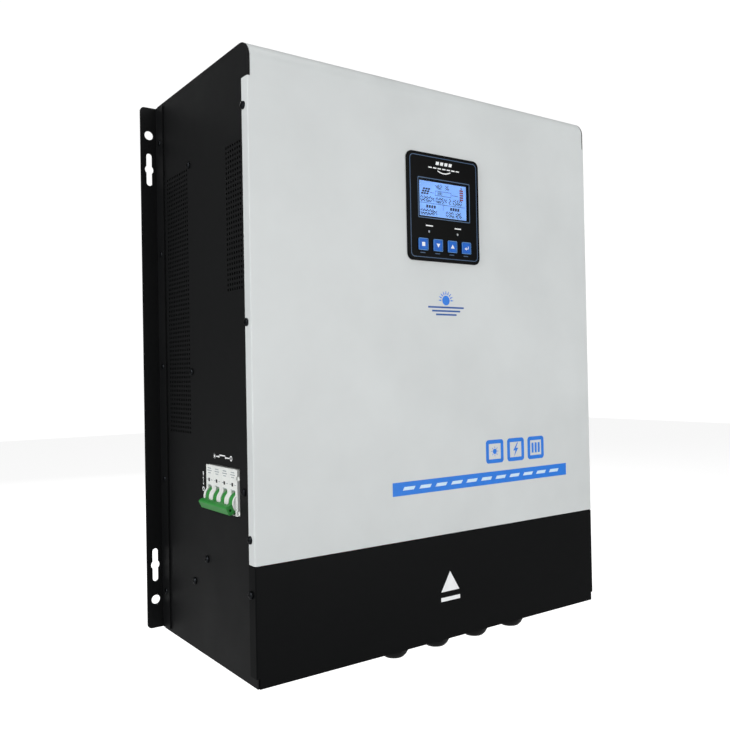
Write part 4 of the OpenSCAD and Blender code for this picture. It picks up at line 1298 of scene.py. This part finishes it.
@dataclass
class Cooling:
    """The two fans under the heat sink, each with a bladed rotor and a finger guard."""

    shop: Workshop
    blades: int = 7
    hub_r: float = 18.0
    tip_r: float = 42.6
    hub_h: float = 19.0
    pin_r: float = 2.4
    blade_t: float = 1.2
    blade_rise: float = 16.0
    root_sweep: float = 46.0
    tip_sweep: float = 34.0

    def hub(self, bm: bmesh.types.BMesh) -> None:
        """Spins the hub's cup with its rounded shoulder, and its bearing pin.

        Args:
            bm: The rotor, in millimetres.
        """
        r, h = self.hub_r, self.hub_h
        rims = (
            [(0, 0), (r - 2.2, 0), (r - 0.7, 0.6), (r, 2.2), (r, h), (0, h)],
            [(0, h), (self.pin_r, h), (self.pin_r, h + 3.4), (0, h + 3.4)],
        )
        for rim in rims:
            points = [bm.verts.new((x, 0, z)) for x, z in rim]
            edges = [bm.edges.new(pair) for pair in zip(points, points[1:])]
            bmesh.ops.spin(
                bm, geom=[*points, *edges], cent=(0, 0, 0), axis=(0, 0, 1), angle=2 * math.pi, steps=48,
                use_merge=True,
            )
        bmesh.ops.remove_doubles(bm, verts=bm.verts, dist=1e-4)

    def blade(self, bm: bmesh.types.BMesh, turn: float) -> None:
        """Adds one blade, twisted from root to tip and cupped along its chord.

        Args:
            bm: The rotor, in millimetres.
            turn: Where the blade stands, in degrees.
        """
        grid = bmesh.ops.create_grid(bm, x_segments=8, y_segments=10, size=0.5)["verts"]
        for v in grid:
            out, chord = v.co.x + 0.5, v.co.y
            radius = self.hub_r - 0.6 + out * (self.tip_r - self.hub_r + 0.6)
            sweep = self.root_sweep + out * (self.tip_sweep - self.root_sweep)
            angle = math.radians(turn + chord * sweep + 7 * (0.25 - chord * chord))
            lift = self.hub_h / 2 + chord * self.blade_rise
            v.co = (radius * math.cos(angle), radius * math.sin(angle), lift)
        faces = list({f for v in grid for f in v.link_faces})
        bmesh.ops.solidify(bm, geom=faces, thickness=self.blade_t)

    def rotor(self, node: str) -> bmesh.types.BMesh:
        """Makes a rotor in place of the frame's plain one.

        Args:
            node: The plain rotor.

        Returns:
            The rotor, in metres and in place.
        """
        low, middle, _ = span(node)
        bm = bmesh.new()
        for i in range(self.blades):
            self.blade(bm, i * 360 / self.blades)
        self.hub(bm)
        bmesh.ops.recalc_face_normals(bm, faces=bm.faces[:])
        place = Matrix.Translation((middle.x, middle.y, low.z)) @ Matrix.Scale(MM, 4)
        bm.transform(place)
        return bm

    def build(self) -> None:
        """Builds the rotors and softens the frames and guards."""
        shop = self.shop
        for side in ("left", "right"):
            rotor = self.rotor(f"{side}_fan_rotor")
            shop.publish(
                rotor, f"{side}_bladed_rotor", FAN_PBT, "black_plastic", body=f"{side}_rotor",
                replaces=(f"{side}_fan_rotor",),
            )
            shop.softened(f"{side}_fan_frame", FAN_PBT, "black_plastic", 0.4)
        shop.softened("fan_guards", BLACK_STEEL, "black_oxide_steel", 0.35)
        shop.softened("fan_screws", BLACK_STEEL, "black_oxide_steel", 0.18)
        shop.dress(("heat_sink_base", "heat_sink_fins"), ALUMINIUM)


# ------------------------------------------------------------------ electronics and glands


@dataclass
class Electronics:
    """The power board with its parts, the terminals and the four cable glands."""

    shop: Workshop
    wire_edge: float = 0.7
    gland_edge: float = 0.5

    def build(self) -> None:
        """Dresses the inner pieces and softens the wound and moulded ones."""
        shop = self.shop
        for names, finish in (
            (("power_board",), MASK_GREEN),
            (("board_standoffs", "earth_stud", "earth_nuts"), BRASS),
            (("inductor_cores",), FERRITE),
            (("power_transistors", "control_chips"), CHIP_EPOXY),
            (("transistor_clamp", "terminal_screws"), ZINC),
            (("relays",), RELAY_PBT),
            (("ribbon_cable",), RIBBON_PVC),
            (("gland_locknuts",), GLAND_NYLON),
        ):
            shop.dress(names, finish)
        for node, finish, slot, width in (
            ("bulk_capacitors", SLEEVE, "capacitor_sleeve", 0.3),
            ("inductor_windings", COPPER, "copper_wire", self.wire_edge),
            ("terminal_block", TERMINAL_PA, "terminal_grey", 0.3),
            ("gland_bodies", GLAND_NYLON, "gland_nylon", self.gland_edge),
            ("gland_cap_nuts", GLAND_NYLON, "gland_nylon", self.gland_edge),
            ("gland_seals", SEAL_RUBBER, "seal_rubber", 0.4),
        ):
            shop.softened(node, finish, slot, width)


# ------------------------------------------------------------------ printed marks


@dataclass
class Graphics:
    """The screen-printed band, signs and switch marks on the covers and the breaker's side."""

    shop: Workshop
    ink: float = 0.04
    band_x: Point = (-77.3, 192.9)
    band_z: Point = (-142.5, -128.1)

    def sun(
        self, page: Drawing, centre: Point, radius: float, rays: int, start: float, end: float
    ) -> None:
        """Draws a sun: a disc with tapering rays round a part of it.

        Args:
            page: The drawing it goes into.
            centre: Its middle.
            radius: The radius of its disc.
            rays: How many rays it has.
            start: The angle of the first ray, in degrees.
            end: The angle of the last.
        """
        page.disc(centre, radius)
        for i in range(rays):
            turn = math.radians(start + (end - start) * i / (rays - 1))
            along, across = (math.cos(turn), math.sin(turn)), (-math.sin(turn), math.cos(turn))
            corners = ((1.25, 0.16), (1.95, 0.05), (1.95, -0.05), (1.25, -0.16))
            page.polygon([
                (centre[0] + radius * (a * along[0] + b * across[0]),
                 centre[1] + radius * (a * along[1] + b * across[1]))
                for a, b in corners
            ][::-1])

    def front_marks(self) -> dict[str, tuple[Drawing, Finish]]:
        """Draws the marks on the pale cover: the band, the large signs and the small sun.

        Returns:
            Each mark's drawing and ink by the piece's name.
        """
        pages = {name: Drawing() for name in ("band", "line", "large", "small", "swoosh")}
        (x0, x1), (z0, z1) = self.band_x, self.band_z
        pages["band"].rectangle(((x0 + x1) / 2, (z0 + z1) / 2), (x1 - x0, z1 - z0))
        for i in range(11):
            pages["line"].rectangle((x0 + 22 + i * 22.6, (z0 + z1) / 2), (15.0, 3.6), lean=2.4)
        mid = -105.2
        for i in range(3):
            pages["large"].rounded((71.5 + i * 34.0, mid), (28.0, 27.0), 4.0, 4.6)
        self.sun(pages["large"], (71.5, mid), 3.1, 8, 0, 315)
        pages["large"].polygon([
            (108.2, mid + 8.0), (101.4, mid - 1.2), (105.0, mid - 1.2), (102.8, mid - 8.2),
            (109.8, mid + 1.6), (106.0, mid + 1.6), (109.6, mid + 8.0),
        ])
        for i in range(3):
            pages["large"].rectangle((134.2 + i * 5.3, mid), (3.4, 12.0))
        self.sun(pages["small"], (1.5, 66.5), 5.4, 9, 0, 180)
        for i in range(3):
            pages["swoosh"].rectangle((1.7, 58.8 - i * 4.0), (52.0 - i * 11.0, 1.9))
        return {
            "blue_band": (pages["band"], INK_BLUE),
            "band_dashes": (pages["line"], INK_SKY),
            "large_signs": (pages["large"], INK_BLUE),
            "small_sun": (pages["small"], INK_BLUE),
            "sun_stripes": (pages["swoosh"], INK_NAVY),
        }

    def warning_sign(self) -> Drawing:
        """Draws the triangle on the black cover with a bar under it.

        Returns:
            The drawing.
        """
        page = Drawing()
        page.polygon([(-13.4, -253.2), (12.8, -253.2), (-0.3, -231.6)])
        page.rectangle((0, -261.5), (27.4, 4.3))
        return page

    def switch_marks(self, centre: Vector) -> Drawing:
        """Draws the on and off signs beside the breaker and a round sign above it.

        Args:
            centre: The middle of the breaker's window.

        Returns:
            The drawing, whose origin is that middle.
        """
        page = Drawing()
        beside, above = -48.0, 32.0
        page.rectangle((beside, 11.8), (1.6, 4.4))
        page.band((beside, -4.4), 2.5, 1.1, 0, 180)
        page.band((beside, -4.4), 2.5, 1.1, 180, 360)
        page.polygon([(beside - 1.3, 6.2), (beside + 1.3, 6.2), (beside, 8.2)][::-1])
        page.rectangle((beside, 3.9), (0.7, 3.4))
        page.polygon([(beside - 1.3, 1.6), (beside + 1.3, 1.6), (beside, -0.4)])
        self.sun(page, (-19.0, above), 1.5, 8, 0, 315)
        for u, width in ((-12.2, 5.6), (11.4, 8.4)):
            page.rectangle((u, above), (width, 1.2))
        page.disc((-8.6, above), 1.2, 16)
        page.disc((6.4, above), 1.2, 16)
        page.rectangle((-0.8, above + 1.7), (12.6, 1.2), lean=-1.2)
        page.band((19.0, above), 2.7, 1.1, 0, 180)
        page.band((19.0, above), 2.7, 1.1, 180, 360)
        return page

    def build(self) -> None:
        """Prints every mark."""
        shop, zero = self.shop, Vector()
        zero.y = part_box("front_cover")[0].y
        for name, (page, finish) in self.front_marks().items():
            thick = self.ink * (2 if name == "band_dashes" else 1)
            shop.publish(page.stood(Facing.FRONT, zero, thick), name, finish, "white_powder_coat")
        shop.publish(
            self.warning_sign().stood(Facing.FRONT, zero, self.ink), "triangle_sign", INK_WHITE,
            "black_cover_coat",
        )
        _, middle, _ = span("breaker_body")
        beside = Vector((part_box("left_side_panel")[0].x, middle.y, middle.z))
        shop.publish(
            self.switch_marks(beside).stood(Facing.LEFT, beside, self.ink), "switch_signs", INK_WHITE,
            "black_powder_coat",
        )


# ------------------------------------------------------------------ studio


@dataclass(frozen=True)
class SoftBox:
    """One area light."""

    name: str
    at: tuple[float, float, float]
    aim: tuple[float, float, float]
    size: tuple[float, float]
    watts: float


@dataclass
class Studio:
    """The pale floor, the white sky, the soft lights and the camera."""

    shop: Workshop
    floor_z: float = -0.5
    floor_half: float = 6.0
    sky: float = 0.15
    backdrop: float = 1.05
    eye: tuple[float, float, float] = (-0.5808, -0.9014, -0.0131)
    azimuth: float = -35.25
    elevation: float = -0.646
    roll: float = -1.06
    lens: float = 39.264
    sensor: float = 36.0
    nearest: float = 0.02
    boxes: tuple[SoftBox, ...] = (
        SoftBox("front_box", (0.6, -2.6, 0.25), (0, -0.2, 0), (2.0, 1.6), 38.0),
        SoftBox("left_box", (-2.4, -0.6, 0.7), (-0.2, -0.2, 0.0), (1.0, 1.8), 45.0),
        SoftBox("top_box", (0.1, -0.7, 2.4), (0, -0.15, 0.3), (1.6, 0.8), 11.0),
        SoftBox("back_box", (0.5, 2.4, 1.2), (0, 0, 0), (1.8, 1.4), 48.0),
        SoftBox("right_box", (2.4, -0.2, 0.6), (0.2, -0.15, 0.0), (1.0, 1.8), 16.0),
    )

    def light(self, box: SoftBox) -> None:
        """Hangs one light, aimed at a point.

        Args:
            box: The light.
        """
        lamp = bpy.data.lights.new(box.name, "AREA")
        lamp.shape, lamp.size, lamp.size_y = "RECTANGLE", box.size[0], box.size[1]
        lamp.energy = box.watts
        held = bpy.data.objects.new(box.name, lamp)
        ray = Vector(box.aim) - Vector(box.at)
        turn = ray.to_track_quat("-Z", "Y").to_matrix().to_4x4()
        held.matrix_world = Matrix.Translation(box.at) @ turn
        bpy.context.scene.collection.objects.link(held)

    def floor(self) -> None:
        """Lays the pale floor, flat and far wider than the view."""
        bm = bmesh.new()
        bmesh.ops.create_grid(bm, x_segments=1, y_segments=1, size=self.floor_half)
        bmesh.ops.translate(bm, verts=bm.verts, vec=(0, 0, self.floor_z))
        mesh = bpy.data.meshes.new("pale_floor")
        bm.to_mesh(mesh)
        bm.free()
        mesh.materials.append(self.shop.material(FLOOR_PAINT))
        floor = bpy.data.objects.new("pale_floor", mesh)
        bpy.context.scene.collection.objects.link(floor)

    def camera(self) -> None:
        """Stands the camera where the cabinet is seen from its left."""
        a, e, r = (math.radians(x) for x in (self.azimuth, self.elevation, self.roll))
        back = Vector((math.sin(a) * math.cos(e), -math.cos(a) * math.cos(e), math.sin(e)))
        right = (-back).cross(Vector((0, 0, 1))).normalized()
        up = right.cross(-back)
        axes = (right * math.cos(r) + up * math.sin(r), up * math.cos(r) - right * math.sin(r), back)
        data = bpy.data.cameras.new("studio_camera")
        data.lens, data.sensor_width, data.clip_start = self.lens, self.sensor, self.nearest
        held = bpy.data.objects.new("studio_camera", data)
        held.matrix_world = Matrix.Translation(self.eye) @ Matrix(axes).transposed().to_4x4()
        bpy.context.scene.collection.objects.link(held)
        bpy.context.scene.camera = held

    def build(self) -> None:
        """Sets the sky, the floor, the lights and the camera."""
        world = bpy.data.worlds.new("white_sky")
        world.use_nodes = True
        tree = world.node_tree
        tree.nodes.clear()
        # The sky is white to the eye, and lights the cabinet more softly than it looks
        seen = add_node(tree, "ShaderNodeLightPath").outputs["Is Camera Ray"]
        glow = add_node(tree, "ShaderNodeMapRange", {
            "Value": seen, "To Min": self.sky, "To Max": self.backdrop,
        }).outputs["Result"]
        sky = add_node(tree, "ShaderNodeBackground", {"Color": (1, 1, 1, 1), "Strength": glow})
        add_node(tree, "ShaderNodeOutputWorld", {"Surface": sky.outputs["Background"]})
        bpy.context.scene.world = world
        bpy.context.scene.view_settings.view_transform = "Standard"
        self.floor()
        for box in self.boxes:
            self.light(box)
        self.camera()


def main() -> None:
    """Builds the looks of each sub-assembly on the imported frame."""
    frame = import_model()
    shop = Workshop(frame["nodes"])
    for assembly in (Cabinet, Display, Breaker, Cooling, Electronics, Graphics, Studio):
        assembly(shop).build()
        LOG.info("%s built", assembly.__name__)
    LOG.info("%d pieces made", shop.made)


if __name__ == "__main__":
    main()
